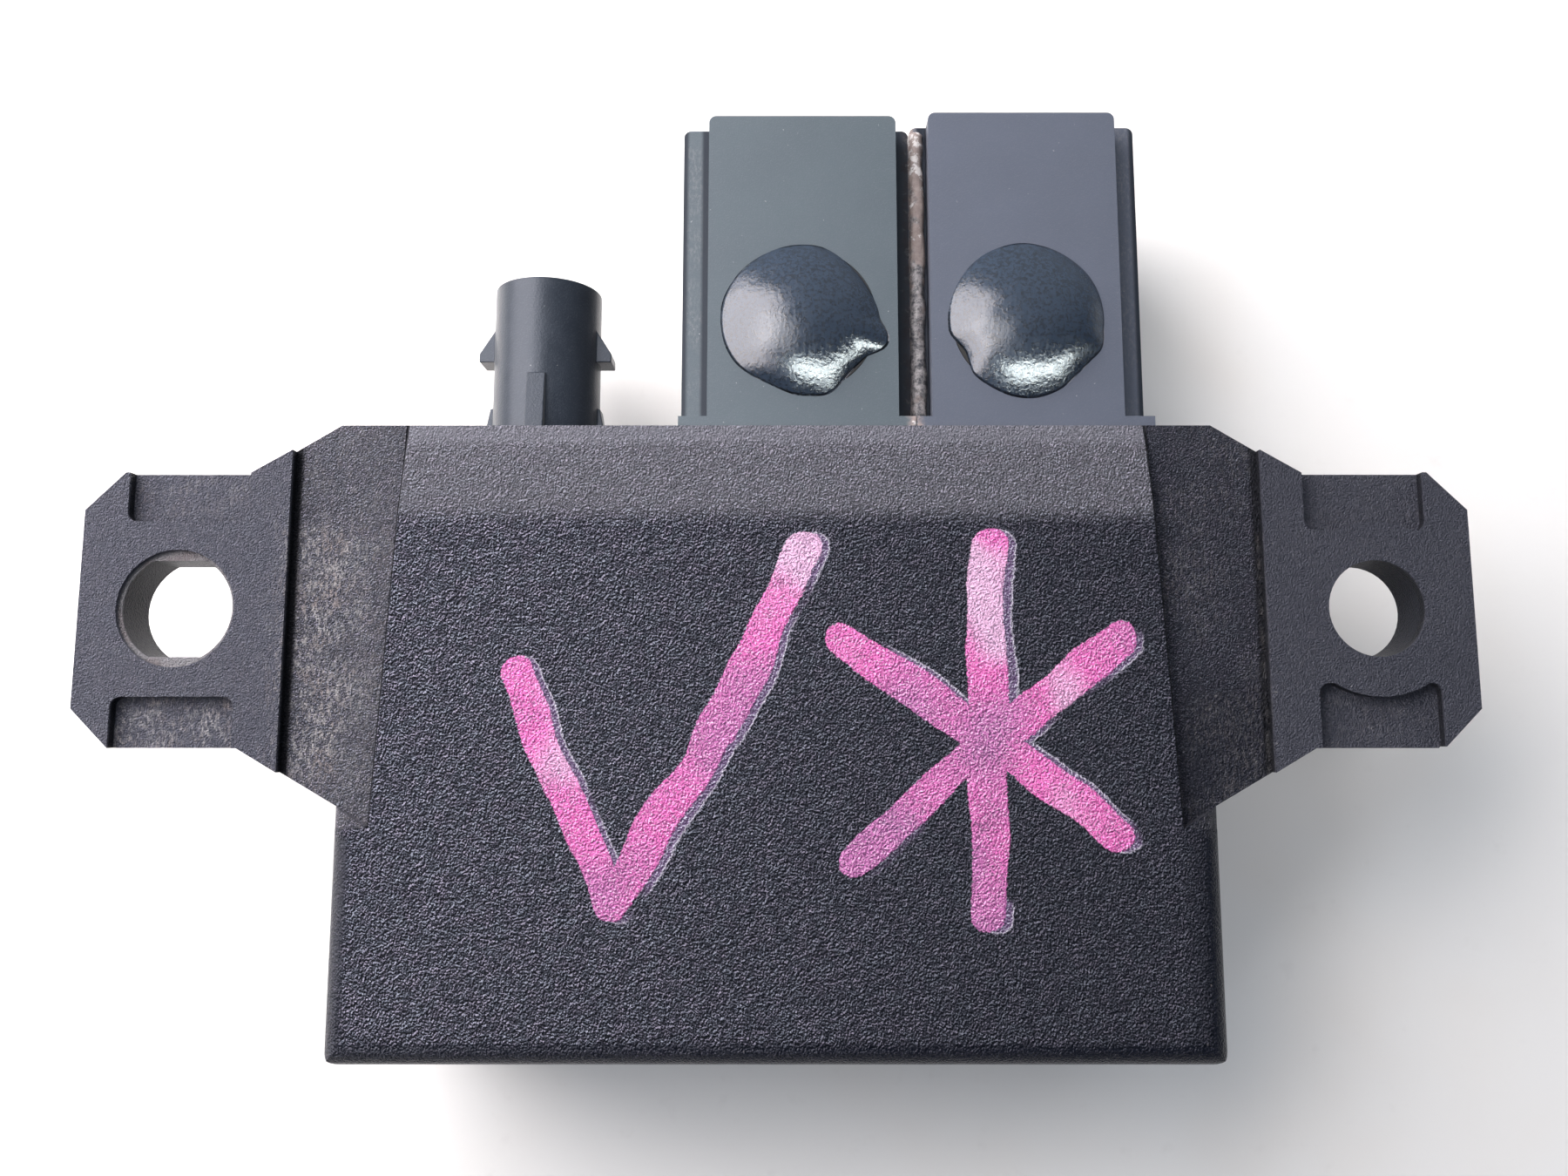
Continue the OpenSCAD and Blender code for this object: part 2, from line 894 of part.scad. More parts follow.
module drive_transformers() {
    color([0.2, 0.2, 0.2])
    for (x = transformer_x)
        translate([x, board_mid + transformer_y, board_top]) {
            translate([-5.5, -5, 0])
                cube([11, 10, 2.5]);
            translate([0, 0, 2.5 - eps])
                cylinder(h = 5, r = 3.6);
            translate([-5.5, -5, 7.5 - 2 * eps])
                cube([11, 10, 2]);
        }
}

module electrolytic_capacitors() {
    color([0.18, 0.2, 0.3])
    for (x = capacitor_x)
        translate([x, board_mid + capacitor_y, board_top]) {
            cylinder(h = 11.4, r = 4);
            translate([-4.3, -4.3, 0])
                cube([8.6, 8.6, 1]);
        }
}

module voltage_regulator() {
    color([0.12, 0.12, 0.12])
    translate([regulator_at[0], board_mid + regulator_at[1], board_top]) {
        translate([-3.3, -3, 0])
            cube([6.6, 6, 2.3]);
        translate([-2.7, 3 - eps, 0])
            cube([5.4, 1.4, 0.5]);
        for (x = [-2.3, 2.3])
            translate([x - 0.4, -5.6, 0])
                cube([0.8, 2.6 + eps, 0.5]);
    }
}

module crystal() {
    color([0.75, 0.75, 0.76])
    translate([crystal_at[0], board_mid + crystal_at[1], board_top])
        linear_extrude(3.5)
            round_rect(11, 4.7, 2.3);
}

// Small two-terminal parts in rows on the front side of the board
module chip_parts() {
    color([0.55, 0.5, 0.42])
    for (column = [0 : 5])
        for (row = [0 : 2])
            translate([chip_rows_at[0] + column * 2.6, board_mid + chip_rows_at[1] + row * 3.4,
                       board_top])
                translate([-0.6, -1, 0])
                    cube([1.25, 2, 0.6]);
}

front_housing();
rear_cover();
cover_seal();
cover_screws();
left_tower();
right_tower();
tower_gasket();  // left_tower_gasket
on_right() tower_gasket();  // right_tower_gasket
sealant_dome();  // left_sealant_dome
on_right() sealant_dome();  // right_sealant_dome
transducer_can();  // left_transducer_can
on_right() transducer_can();  // right_transducer_can
rubber_ring();  // left_rubber_ring
on_right() rubber_ring();  // right_rubber_ring
piezo_disc();  // left_piezo_disc
on_right() piezo_disc();  // right_piezo_disc
damping_foam();  // left_damping_foam
on_right() damping_foam();  // right_damping_foam
terminal_disc();  // left_terminal_disc
on_right() terminal_disc();  // right_terminal_disc
can_potting();  // left_can_potting
on_right() can_potting();  // right_can_potting
support_pad();  // left_support_pad
on_right() support_pad();  // right_support_pad
leads(left_x);  // left_leads
leads(right_x);  // right_leads
connector_shroud();
connector_seal();
connector_pins();
circuit_board();
board_screws();
microcontroller();
drive_transformers();
electrolytic_capacitors();
voltage_regulator();
echo_amplifiers();
bus_transceiver();
crystal();
chip_parts();
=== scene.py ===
"""Surfaces, sealant and studio for a sealed twin ultrasonic distance sensor.

The CAD frame gives every size and place. Each operator finishes one piece or one group of like
pieces, and main() runs them in order. Lengths are in metres: X across the housing, Y towards the
towers, Z along the sensing direction.
"""

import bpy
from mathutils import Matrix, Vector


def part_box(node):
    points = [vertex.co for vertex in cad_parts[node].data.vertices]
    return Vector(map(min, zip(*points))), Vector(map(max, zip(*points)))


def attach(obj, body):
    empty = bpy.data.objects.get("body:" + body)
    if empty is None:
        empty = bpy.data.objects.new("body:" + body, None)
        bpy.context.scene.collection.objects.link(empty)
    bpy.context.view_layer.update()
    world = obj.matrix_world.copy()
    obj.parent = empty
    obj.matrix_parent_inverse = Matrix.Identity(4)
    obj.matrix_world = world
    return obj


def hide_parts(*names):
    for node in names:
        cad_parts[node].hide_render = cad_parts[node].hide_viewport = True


bl_info = {
    "name": "Sealed Twin Distance Sensor",
    "version": (1, 0, 0),
    "blender": (4, 5, 0),
    "location": "3D View > Sidebar > Sensor",
    "description": "Finishes a sealed sensor: housing, towers, sealant, connector and electronics",
    "category": "Object",
}

from math import atan2, pi, radians
from types import SimpleNamespace

import bpy
from bpy.props import FloatProperty, FloatVectorProperty, PointerProperty
from mathutils import Vector

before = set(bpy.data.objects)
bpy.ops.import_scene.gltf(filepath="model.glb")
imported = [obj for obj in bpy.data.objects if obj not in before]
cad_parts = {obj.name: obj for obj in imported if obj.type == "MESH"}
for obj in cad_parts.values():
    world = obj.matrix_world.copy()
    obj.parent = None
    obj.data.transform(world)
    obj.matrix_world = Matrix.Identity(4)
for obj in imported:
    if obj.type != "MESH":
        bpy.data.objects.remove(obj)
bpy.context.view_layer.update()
MM = 0.001

WELD = 2e-6               # copied meshes are merged within this distance
FLAT_ANGLE = 0.6          # faces within this many degrees become one
SMOOTH_ANGLE = 35.0       # sharper edges than this stay sharp
ON_BASE = 1e-7            # a dome's points lower than this above its base stay there


# ---------- settings ----------

def length(name, description, default, low, high):
    return FloatProperty(name=name, description=description, default=default, min=low, max=high,
                         unit="LENGTH", precision=5)


def colour(name, description, default):
    return FloatVectorProperty(name=name, description=description, default=default, size=3,
                               min=0.0, max=2.0, subtype="COLOR")


class HousingSettings(bpy.types.PropertyGroup):
    edge: length("Edge rounding", "Width of the rounding on the moulded edges",
                 0.00022, 0.00005, 0.0005)
    grain: length("Grain size", "Size of one grain of the moulded texture",
                  0.00019, 0.0001, 0.002)
    stroke: length("Paint stroke width", "Width of the brushed paint strokes", 0.0039, 0.001, 0.008)
    plastic: colour("Plastic", "Colour of the housing plastic", (0.022, 0.025, 0.039))
    dust: colour("Dust", "Colour of dust and scuffs on the plastic", (0.40, 0.385, 0.39))
    paint: colour("Paint", "Main colour of the painted mark", (0.98, 0.17, 0.58))
    thin_paint: colour("Thin paint", "Colour where the paint is thin", (0.17, 0.10, 0.22))
    # The pale paint colour is a painted highlight: it is drawn where the paint catches the light,
    # towards the top and on the lit side of each grain
    paint_highlight: colour("Pale paint", "Colour of the painted highlight on the paint", (0.98, 0.58, 0.86))


class TowerSettings(bpy.types.PropertyGroup):
    edge: length("Edge rounding", "Width of the rounding on the tower edges", 0.0003, 0.00005, 0.0006)
    plastic: colour("Plastic", "Colour of the tower plastic", (0.086, 0.097, 0.130))
    grime: colour("Grime", "Colour of the grime between the towers", (0.27, 0.215, 0.20))
    sealant: colour("Sealant", "Colour of the domed sealant", (0.022, 0.034, 0.056))


class ConnectorSettings(bpy.types.PropertyGroup):
    edge: length("Edge rounding", "Width of the rounding on the connector edges",
                 0.00018, 0.00005, 0.0005)
    plastic: colour("Plastic", "Colour of the connector plastic", (0.010, 0.014, 0.021))
    brass: colour("Pins", "Colour of the plated pins", (0.72, 0.52, 0.24))


class StageSettings(bpy.types.PropertyGroup):
    floor: colour("Floor", "Colour of the table top", (0.88, 0.865, 0.855))
    sky: colour("Room light", "Colour of the light from all round", (0.70, 0.78, 0.87))


# ---------- modelling ----------

def pick(piece):
    """Makes a piece the only selected and active one."""
    bpy.ops.object.select_all(action="DESELECT")
    piece.select_set(True)
    bpy.context.view_layer.objects.active = piece


def modify(piece, kind, **values):
    """Adds a modifier and applies it."""
    pick(piece)
    step = piece.modifiers.new(kind.title(), kind)
    for name, value in values.items():
        setattr(step, name, value)
    bpy.ops.object.modifier_apply(modifier=step.name)


def moulded_copy(node, edge, angle=28.0, segments=2):
    """Copy of a CAD node with its flat faces made whole and its edges rounded."""
    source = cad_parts[node]
    piece = bpy.data.objects.new(node + "_moulded", source.data.copy())
    bpy.context.scene.collection.objects.link(piece)
    pick(piece)
    if piece.data.has_custom_normals:
        bpy.ops.mesh.customdata_custom_splitnormals_clear()
    bpy.ops.object.mode_set(mode="EDIT")
    bpy.ops.mesh.select_all(action="SELECT")
    bpy.ops.mesh.remove_doubles(threshold=WELD)
    bpy.ops.mesh.dissolve_limited(angle_limit=radians(FLAT_ANGLE))
    bpy.ops.mesh.select_all(action="DESELECT")
    bpy.ops.object.mode_set(mode="OBJECT")
    modify(piece, "BEVEL", width=edge, segments=segments, limit_method="ANGLE",
           angle_limit=radians(angle), harden_normals=False, use_clamp_overlap=True)
    bpy.ops.object.shade_smooth_by_angle(angle=radians(SMOOTH_ANGLE))
    modify(piece, "WEIGHTED_NORMAL", mode="FACE_AREA", weight=50, keep_sharp=True)
    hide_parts(node)
    return piece


def dress(piece, material):
    """Gives a new piece its material and its body."""
    piece.data.materials.clear()
    piece.data.materials.append(material)
    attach(piece, "root")


def paint_node(node, material):
    """Gives a CAD node that stays in view its material."""
    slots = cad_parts[node].material_slots
    for slot in slots:
        slot.material = material


def displace(piece, name, size, octaves, strength, direction):
    """Roughens a piece with cloudy lumps about size across."""
    lumps = bpy.data.textures.new(name, "CLOUDS")
    lumps.noise_scale = size
    lumps.noise_depth = octaves
    modify(piece, "DISPLACE", texture=lumps, strength=strength, mid_level=0.5,
           texture_coords="LOCAL", direction=direction)


def settle(piece):
    """Moves an object's place, turn and scale into its mesh."""
    pick(piece)
    bpy.ops.object.transform_apply(location=True, rotation=True, scale=True)


# ---------- node building ----------

def put(tree, kind, values=None, **settings):
    """Adds a node. values maps socket names to constants or to sockets that feed them."""
    node = tree.nodes.new("ShaderNode" + kind)
    for name, value in settings.items():
        setattr(node, name, value)
    feed(tree, node, values)
    return node


def feed(tree, node, values):
    """Sets a node's sockets, or links what feeds them."""
    for name, value in (values or {}).items():
        if isinstance(value, bpy.types.NodeSocket):
            tree.links.new(value, node.inputs[name])
        else:
            node.inputs[name].default_value = value


def math(tree, operation, first, second=0.0, third=0.0, clamp=False):
    return put(tree, "Math", {0: first, 1: second, 2: third}, operation=operation,
               use_clamp=clamp).outputs[0]


def times(tree, first, *others):
    """Product of two or more values."""
    for other in others:
        first = math(tree, "MULTIPLY", first, other)
    return first


def plus(tree, first, second, clamp=False):
    return math(tree, "ADD", first, second, clamp=clamp)


def minus(tree, first, second):
    return math(tree, "SUBTRACT", first, second)


def either(tree, first, second):
    """The stronger of two masks."""
    return math(tree, "MAXIMUM", first, second)


def outside(tree, mask):
    """What a mask leaves out."""
    return minus(tree, 1.0, mask)


def vector_math(tree, operation, first, second=(0.0, 0.0, 0.0)):
    node = put(tree, "VectorMath", {0: first, 1: second}, operation=operation)
    return node.outputs["Value"] if operation in {"DOT_PRODUCT", "LENGTH"} else node.outputs[0]


def axes(tree, place):
    """X, Y and Z of a place."""
    return put(tree, "SeparateXYZ", {0: place}).outputs[:3]


def smooth(tree, value, low, high, to_low=0.0, to_high=1.0):
    """Value mapped smoothly from low..high to to_low..to_high."""
    return put(tree, "MapRange", {"Value": value, "From Min": low, "From Max": high,
                                  "To Min": to_low, "To Max": to_high},
               interpolation_type="SMOOTHSTEP").outputs[0]


def blend(tree, factor, first, second):
    """Mix of two colours, each a socket or three numbers."""
    node = put(tree, "Mix", {0: factor}, data_type="RGBA")
    for index, value in ((6, first), (7, second)):
        feed(tree, node, {index: value if isinstance(value, bpy.types.NodeSocket) else (*value, 1.0)})
    return node.outputs[2]


def tint(tree, tone, mask, strength, colour):
    """Tone mixed with a colour where a mask is set."""
    return blend(tree, times(tree, mask, strength), tone, colour)


def noise(tree, vector, size, detail=2.0, roughness=0.5, offset=(0.0, 0.0, 0.0)):
    """Noise whose features are about size across."""
    moved = vector_math(tree, "ADD", vector, offset)
    return put(tree, "TexNoise", {"Vector": moved, "Scale": 1.0 / size, "Detail": detail,
                                  "Roughness": roughness}).outputs[0]


def object_place(tree, rotation=(0.0, 0.0, 0.0), scale=(1.0, 1.0, 1.0)):
    """Object coordinates turned and stretched."""
    place = put(tree, "TexCoord").outputs["Object"]
    return put(tree, "Mapping", {"Vector": place, "Rotation": rotation, "Scale": scale}).outputs[0]


def new_group(name, inputs, outputs):
    """Empty shader node group with named sockets: (name, default) and names."""
    tree = bpy.data.node_groups.new(name, "ShaderNodeTree")
    for label, default in inputs:
        kind = "Vector" if isinstance(default, tuple) else "Float"
        socket = tree.interface.new_socket(label, in_out="INPUT", socket_type="NodeSocket" + kind)
        socket.default_value = default
    for label in outputs:
        tree.interface.new_socket(label, in_out="OUTPUT", socket_type="NodeSocketFloat")
    return tree, tree.nodes.new("NodeGroupInput").outputs, tree.nodes.new("NodeGroupOutput").inputs


def use_group(tree, name, **values):
    """Places a node group and returns its outputs. Half_Size feeds the socket Half Size."""
    node = tree.nodes.new("ShaderNodeGroup")
    node.node_tree = bpy.data.node_groups[name]
    feed(tree, node, {label.replace("_", " "): value for label, value in values.items()})
    return node.outputs


def build_grain():
    """Leathery moulded texture: a height, a painted highlight on the side of each grain that faces
    the light and painted shade on its dark side.
    """
    tree, given, made = new_group("Moulded Grain", [("Vector", (0, 0, 0)), ("Size", 0.0003)],
                                  ["Height", "Painted Highlight", "Painted Shade"])
    scale = math(tree, "DIVIDE", 1.0, given["Size"])
    turned = put(tree, "Mapping", {"Vector": given["Vector"], "Rotation": (0.0, 0.0, radians(35.0)),
                                   "Scale": (1.0, 0.92, 1.0)}).outputs[0]
    shift = times(tree, given["Size"], 0.6)
    to_light = put(tree, "CombineXYZ", {0: times(tree, shift, -0.85), 1: times(tree, shift, 0.5)})
    here, beside = (
        put(tree, "TexNoise", {"Vector": place, "Scale": scale, "Detail": 1.5,
                               "Roughness": 0.6}).outputs[0]
        for place in (turned, vector_math(tree, "ADD", turned, to_light.outputs[0])))
    cells = put(tree, "TexVoronoi", {"Vector": given["Vector"],
                                     "Scale": times(tree, scale, 0.72)}).outputs
    share = axes(tree, cells["Color"])[0]
    crowns = smooth(tree, cells["Distance"], 0.75, 0.15)
    swell = times(tree, smooth(tree, here, 0.25, 0.75), 0.65)
    tree.links.new(math(tree, "MULTIPLY_ADD", crowns, 0.35, swell), made["Height"])
    # Painted light: the grain's slope towards the light gives its painted highlight, and the slope
    # away gives its painted shade
    slope = minus(tree, here, beside)
    uneven = smooth(tree, share, 0.1, 0.95, 0.25, 1.25)
    tree.links.new(times(tree, smooth(tree, slope, 0.01, 0.09), uneven), made["Painted Highlight"])
    tree.links.new(smooth(tree, slope, 0.0, -0.07), made["Painted Shade"])


def build_scuff():
    """Patchy rubbed dust: broad patches broken up by fine streaks."""
    tree, given, made = new_group(
        "Rubbed Dust", [("Vector", (0, 0, 0)), ("Patch", 0.004), ("Streak", 0.0003), ("Amount", 0.5)],
        ["Mask"])
    stretched = put(tree, "Mapping", {"Vector": given["Vector"], "Scale": (1.0, 0.42, 1.0),
                                      "Rotation": (0.0, 0.0, radians(24.0))}).outputs[0]
    broad, fine = (
        put(tree, "TexNoise", {"Vector": place, "Scale": math(tree, "DIVIDE", 1.0, size),
                               "Detail": 3.0, "Roughness": roughness}).outputs[0]
        for place, size, roughness in ((given["Vector"], given["Patch"], 0.6),
                                       (stretched, given["Streak"], 0.75)))
    level = outside(tree, given["Amount"])
    patches = smooth(tree, broad, minus(tree, level, 0.18), plus(tree, level, 0.18))
    tree.links.new(times(tree, patches, smooth(tree, fine, 0.44, 0.66)), made["Mask"])


def build_region():
    """Soft-edged box: 1 inside, 0 outside."""
    tree, given, made = new_group(
        "Soft Box", [("Vector", (0, 0, 0)), ("Centre", (0, 0, 0)), ("Half Size", (1, 1, 1)),
                     ("Softness", 0.001)], ["Mask"])
    offset = vector_math(tree, "SUBTRACT", given["Vector"], given["Centre"])
    away = vector_math(tree, "ABSOLUTE", offset)
    x, y, z = axes(tree, vector_math(tree, "SUBTRACT", away, given["Half Size"]))
    most = either(tree, either(tree, x, y), z)
    tree.links.new(smooth(tree, most, given["Softness"], times(tree, given["Softness"], -1.0)),
                   made["Mask"])


def build_stroke():
    """Distance from a straight stroke in the XY plane, as a share of its half width."""
    tree, given, made = new_group(
        "Paint Stroke", [("Vector", (0, 0, 0)), ("Start", (0, 0, 0)), ("End", (0, 1, 0)),
                         ("Half Width", 0.002)], ["Distance"])
    flat = vector_math(tree, "MULTIPLY", given["Vector"], (1.0, 1.0, 0.0))
    run = vector_math(tree, "SUBTRACT", given["End"], given["Start"])
    reach = vector_math(tree, "SUBTRACT", flat, given["Start"])
    along = math(tree, "DIVIDE", vector_math(tree, "DOT_PRODUCT", reach, run),
                 vector_math(tree, "DOT_PRODUCT", run, run), clamp=True)
    nearest = put(tree, "VectorMath", {0: run, "Scale": along}, operation="SCALE").outputs[0]
    gap = vector_math(tree, "LENGTH", vector_math(tree, "SUBTRACT", reach, nearest))
    tree.links.new(math(tree, "DIVIDE", gap, given["Half Width"]), made["Distance"])


def new_material(name, base, roughness, **shader):
    """Material with a Principled shader. Returns (material, tree, shader node)."""
    material = bpy.data.materials.new(name)
    material.use_nodes = True
    tree = material.node_tree
    bsdf = tree.nodes["Principled BSDF"]
    bsdf.inputs["Base Color"].default_value = (*base, 1.0)
    bsdf.inputs["Roughness"].default_value = roughness
    for label, value in shader.items():
        bsdf.inputs[label.replace("_", " ").title().replace("Ior", "IOR")].default_value = value
    material.diffuse_color = (*base, 1.0)
    return material, tree, bsdf


def surface(tree, bsdf, tone, roughness, height, depth):
    """Feeds a colour, a roughness and a height into the shader."""
    tree.links.new(tone, bsdf.inputs["Base Color"])
    tree.links.new(roughness, bsdf.inputs["Roughness"])
    relief = put(tree, "Bump", {"Height": height, "Distance": depth, "Strength": 1.0}).outputs[0]
    tree.links.new(relief, bsdf.inputs["Normal"])


def plain_finish(name, base, roughness, grain=0.0003, depth=0.00001, vary=0.3, metallic=0.0):
    """Finish for a simple part: mottled colour with painted highlights on the lit side of its grain,
    uneven roughness and a fine surface texture.
    """
    material, tree, bsdf = new_material(name, base, roughness, metallic=metallic)
    place = object_place(tree)
    broad = noise(tree, place, grain * 14, 3.0, 0.6)
    fine = use_group(tree, "Moulded Grain", Vector=place, Size=grain)
    dark = tuple(c * (1.0 - vary) for c in base)
    light = tuple(min(1.0, c * (1.0 + vary)) for c in base)
    # Painted highlights on the lit side of the fine grain
    tone = tint(tree, blend(tree, broad, dark, light), fine["Painted Highlight"], vary, light)
    gloss = smooth(tree, broad, 0.25, 0.75, roughness * 0.85, min(1.0, roughness * 1.15))
    surface(tree, bsdf, tone, gloss, fine["Height"], depth)
    return material


# ---------- housing ----------

HOLE_X = 0.062          # middle of each mounting hole
CREASE_X = 0.0390       # where the webs' creases meet the top edge
CREASE_LEAN = 0.0526    # how far a crease runs outwards for each metre down
WEB_FOOT_Y = -0.0222    # where the webs end on the side walls
STEP_X = 0.0504         # the step from a web down to its ear
GRAIN_RELIEF = 0.00055  # height of the moulded grain and of the creases' grooves
# Colour of the painted shade in the creases' grooves and at the feet of the steps
CREASE_SHADE_BLACK = (0.001, 0.001, 0.0015)

# Strokes of the painted mark: start and end in millimetres, and width as a share of the brush
MARK_STROKES = (
    ((-26.2, -7.0), (-22.0, -17.5), 1.00), ((-22.0, -17.5), (-16.6, -29.8), 0.94),
    ((-16.6, -29.8), (-6.0, -12.6), 0.92), ((-6.0, -12.6), (2.6, 6.0), 1.02),
    ((22.4, 6.2), (21.2, -12.0), 1.04), ((21.2, -12.0), (21.6, -31.0), 0.96),
    ((7.2, -3.6), (20.0, -12.4), 0.98), ((20.0, -12.4), (34.6, -22.8), 0.90),
    ((8.0, -25.6), (21.6, -13.4), 0.92), ((21.6, -13.4), (35.4, -3.0), 1.00),
)


def build_mark():
    """Painted mark: a tick and a six-armed burst in brushed strokes."""
    tree, given, made = new_group("Painted Mark", [("Vector", (0, 0, 0)), ("Width", 0.004)],
                                  ["Distance"])
    half = times(tree, given["Width"], 0.5)
    nearest = None
    for start, end, share in MARK_STROKES:
        distance = use_group(tree, "Paint Stroke", Vector=given["Vector"],
                             Start=(start[0] * MM, start[1] * MM, 0.0),
                             End=(end[0] * MM, end[1] * MM, 0.0),
                             Half_Width=times(tree, half, share))["Distance"]
        nearest = distance if nearest is None else math(tree, "MINIMUM", nearest, distance)
    tree.links.new(nearest, made["Distance"])


def housing_zones(tree, place):
    """Masks of the places on the housing whose finish or painted light and shade differs."""
    low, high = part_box("front_housing")
    x, y, z = axes(tree, place)
    across = math(tree, "ABSOLUTE", x)

    def by_depth(clear, full):
        """Mask by depth below the front face."""
        return smooth(tree, z, high.z - clear, high.z - full)

    crease = math(tree, "MULTIPLY_ADD", minus(tree, high.y, y), CREASE_LEAN, CREASE_X)
    off_web = smooth(tree, y, WEB_FOOT_Y, WEB_FOOT_Y - 0.0008, 0.0, 0.02)
    past_crease = minus(tree, minus(tree, across, crease), off_web)
    web = smooth(tree, past_crease, -0.00005, 0.0002)
    # Foot of the step from each web down to its ear, which gets painted shade
    foot = times(tree, smooth(tree, across, STEP_X - 0.0008, STEP_X - 0.0002),
                 smooth(tree, across, STEP_X + 0.0009, STEP_X + 0.0006), by_depth(0.0002, 0.0006))
    ear = times(tree, smooth(tree, across, STEP_X - 0.0001, STEP_X + 0.0002), outside(tree, foot))
    inboard = outside(tree, web)
    side = times(tree, smooth(tree, across, high.x - 0.0294, high.x - 0.0286),
                 smooth(tree, y, WEB_FOOT_Y, WEB_FOOT_Y - 0.0014))
    to_left_hole = vector_math(tree, "MULTIPLY", vector_math(tree, "ADD", place, (HOLE_X, 0.0, 0.0)),
                               (1.0, 1.0, 0.0))
    from_left_hole = vector_math(tree, "LENGTH", to_left_hole)
    from_hole = vector_math(tree, "LENGTH", put(tree, "CombineXYZ", {
        0: minus(tree, across, HOLE_X), 1: y}).outputs[0])
    off_ledge = math(tree, "ABSOLUTE", minus(tree, z, high.z - 0.0005))
    return SimpleNamespace(
        x=x, y=y, web=web, ear=ear,
        bare_web=times(tree, web, math(tree, "MULTIPLY_ADD", ear, -0.7, 1.0)),
        band=times(tree, smooth(tree, y, 0.0086, 0.0112), inboard),
        polished=times(tree, smooth(tree, y, high.y - 0.0026, high.y - 0.0014), inboard),
        rounded=either(tree, smooth(tree, y, low.y + 0.0028, low.y + 0.0020), side),
        face=smooth(tree, z, high.z - 0.0014, high.z - 0.0011),
        paintable=smooth(tree, z, high.z - 0.0016, high.z - 0.0012),
        pocket=times(tree, by_depth(0.0009, 0.0011), smooth(tree, across, 0.0535, 0.0545)),
        pocket_wall=times(tree, by_depth(0.0002, 0.0004), by_depth(0.00117, 0.00110),
                          smooth(tree, across, STEP_X + 0.0009, STEP_X + 0.0011),
                          smooth(tree, from_left_hole, 0.0063, 0.0065)),
        ledge=times(tree, smooth(tree, from_left_hole, 0.0062, 0.0060),
                    smooth(tree, off_ledge, 0.0002, 0.0001)),
        bore=times(tree, smooth(tree, from_hole, 0.00612, 0.00600), by_depth(0.0006, 0.0008)),
        foot=times(tree, foot, smooth(tree, x, 0.0, -0.01, 0.9, 1.0)),
        seam=smooth(tree, math(tree, "ABSOLUTE", past_crease), 0.00020, 0.00008))


def housing_plastic(tree, place, on, grain_highlight, grain_shade, plastic):
    """Near-black plastic with a painted highlight on the lit grain tips and painted shade on their
    dark sides, the bare webs lighter grey, most on the left, painted shade over the right half, the
    lower right, the right ear and the rounded edges, a painted reflection on the top band, and
    lighter ears.
    """
    # Painted highlight colour for the lit side of each grain, and painted shade for its dark side
    cast = noise(tree, place, 0.0012, 2.0, 0.7, (0.4, 0.1, 0.0))
    highlight_tone = blend(tree, smooth(tree, cast, 0.35, 0.65), (0.30, 0.32, 0.40), (0.34, 0.31, 0.41))
    tone = blend(tree, grain_shade, plastic, (0.004, 0.004, 0.006))
    tone = blend(tree, grain_highlight, tone, highlight_tone)
    # The bare webs are drawn lighter grey, more on the left than on the right
    web_grey = smooth(tree, on.x, 0.044, -0.044, 0.10, 0.28)
    tone = tint(tree, tone, on.bare_web, web_grey, (0.13, 0.128, 0.145))
    # Painted shade: the right half, the lower right and the right ear are drawn darker, as the light
    # falls from the left
    right_half = times(tree, smooth(tree, on.x, -0.040, 0.040, 0.0, 0.6), outside(tree, on.band))
    low_right = times(tree, smooth(tree, on.x, 0.036, 0.043), smooth(tree, on.y, 0.006, -0.012), 0.85)
    right_ear = times(tree, smooth(tree, on.x, 0.0500, 0.0510), 0.85)
    painted_right_shade = either(tree, either(tree, right_half, low_right), right_ear)
    tone = blend(tree, painted_right_shade, tone, (0.005, 0.006, 0.011))
    # Painted shade: the rounded lower edge and the lower side walls are drawn near black, as they
    # face away from the light
    tone = tint(tree, tone, on.rounded, 0.88, (0.001, 0.0015, 0.005))
    # Painted reflection: the sloped top band is drawn lighter, as it reflects the light above
    tone = tint(tree, tone, on.band, 0.40, (0.25, 0.245, 0.275))
    return tint(tree, tone, on.ear, 0.6, (0.066, 0.068, 0.088))


def housing_dust(tree, place, on):
    """Mask of dust: rubbed into the left web, thin elsewhere, packed in the pockets and the step."""
    heavy, light, fluff = (
        use_group(tree, "Rubbed Dust", Vector=place, Patch=patch, Streak=streak,
                  Amount=amount)["Mask"]
        for patch, streak, amount in ((0.0052, 0.00032, 0.60), (0.009, 0.00035, 0.47),
                                      (0.0022, 0.0003, 0.50)))
    left_web, step = (
        use_group(tree, "Soft Box", Vector=place, Centre=centre, Half_Size=half,
                  Softness=softness)["Mask"]
        for centre, half, softness in (
            ((-0.0468, -0.0045, 0.027), (0.0035, 0.012, 0.003), 0.0035),
            ((STEP_X, -0.0045, 0.0272), (0.00012, 0.0125, 0.0006), 0.00025)))
    dust = plus(tree, times(tree, heavy, left_web, 0.75), times(tree, light, on.bare_web, 0.18))
    left = smooth(tree, on.x, -0.020, -0.044)
    dust = plus(tree, dust, times(tree, heavy, left, on.bare_web, 0.18), clamp=True)
    packed = times(tree, on.pocket, fluff, smooth(tree, on.y, -0.006, 0.002, 0.85, 0.3),
                   smooth(tree, on.x, 0.0, -0.01, 0.2, 1.0))
    dust = times(tree, plus(tree, dust, packed, clamp=True), on.face)
    crumbs = smooth(tree, noise(tree, place, 0.0012, 3.0, 0.7), 0.42, 0.62)
    sparse = smooth(tree, noise(tree, place, 0.0007, 2.0, 0.6, (0.2, 0.7, 0.0)), 0.72, 0.78)
    for more in (times(tree, on.ledge, 0.42), times(tree, step, crumbs), times(tree, sparse, 0.35)):
        dust = plus(tree, dust, more, clamp=True)
    return dust


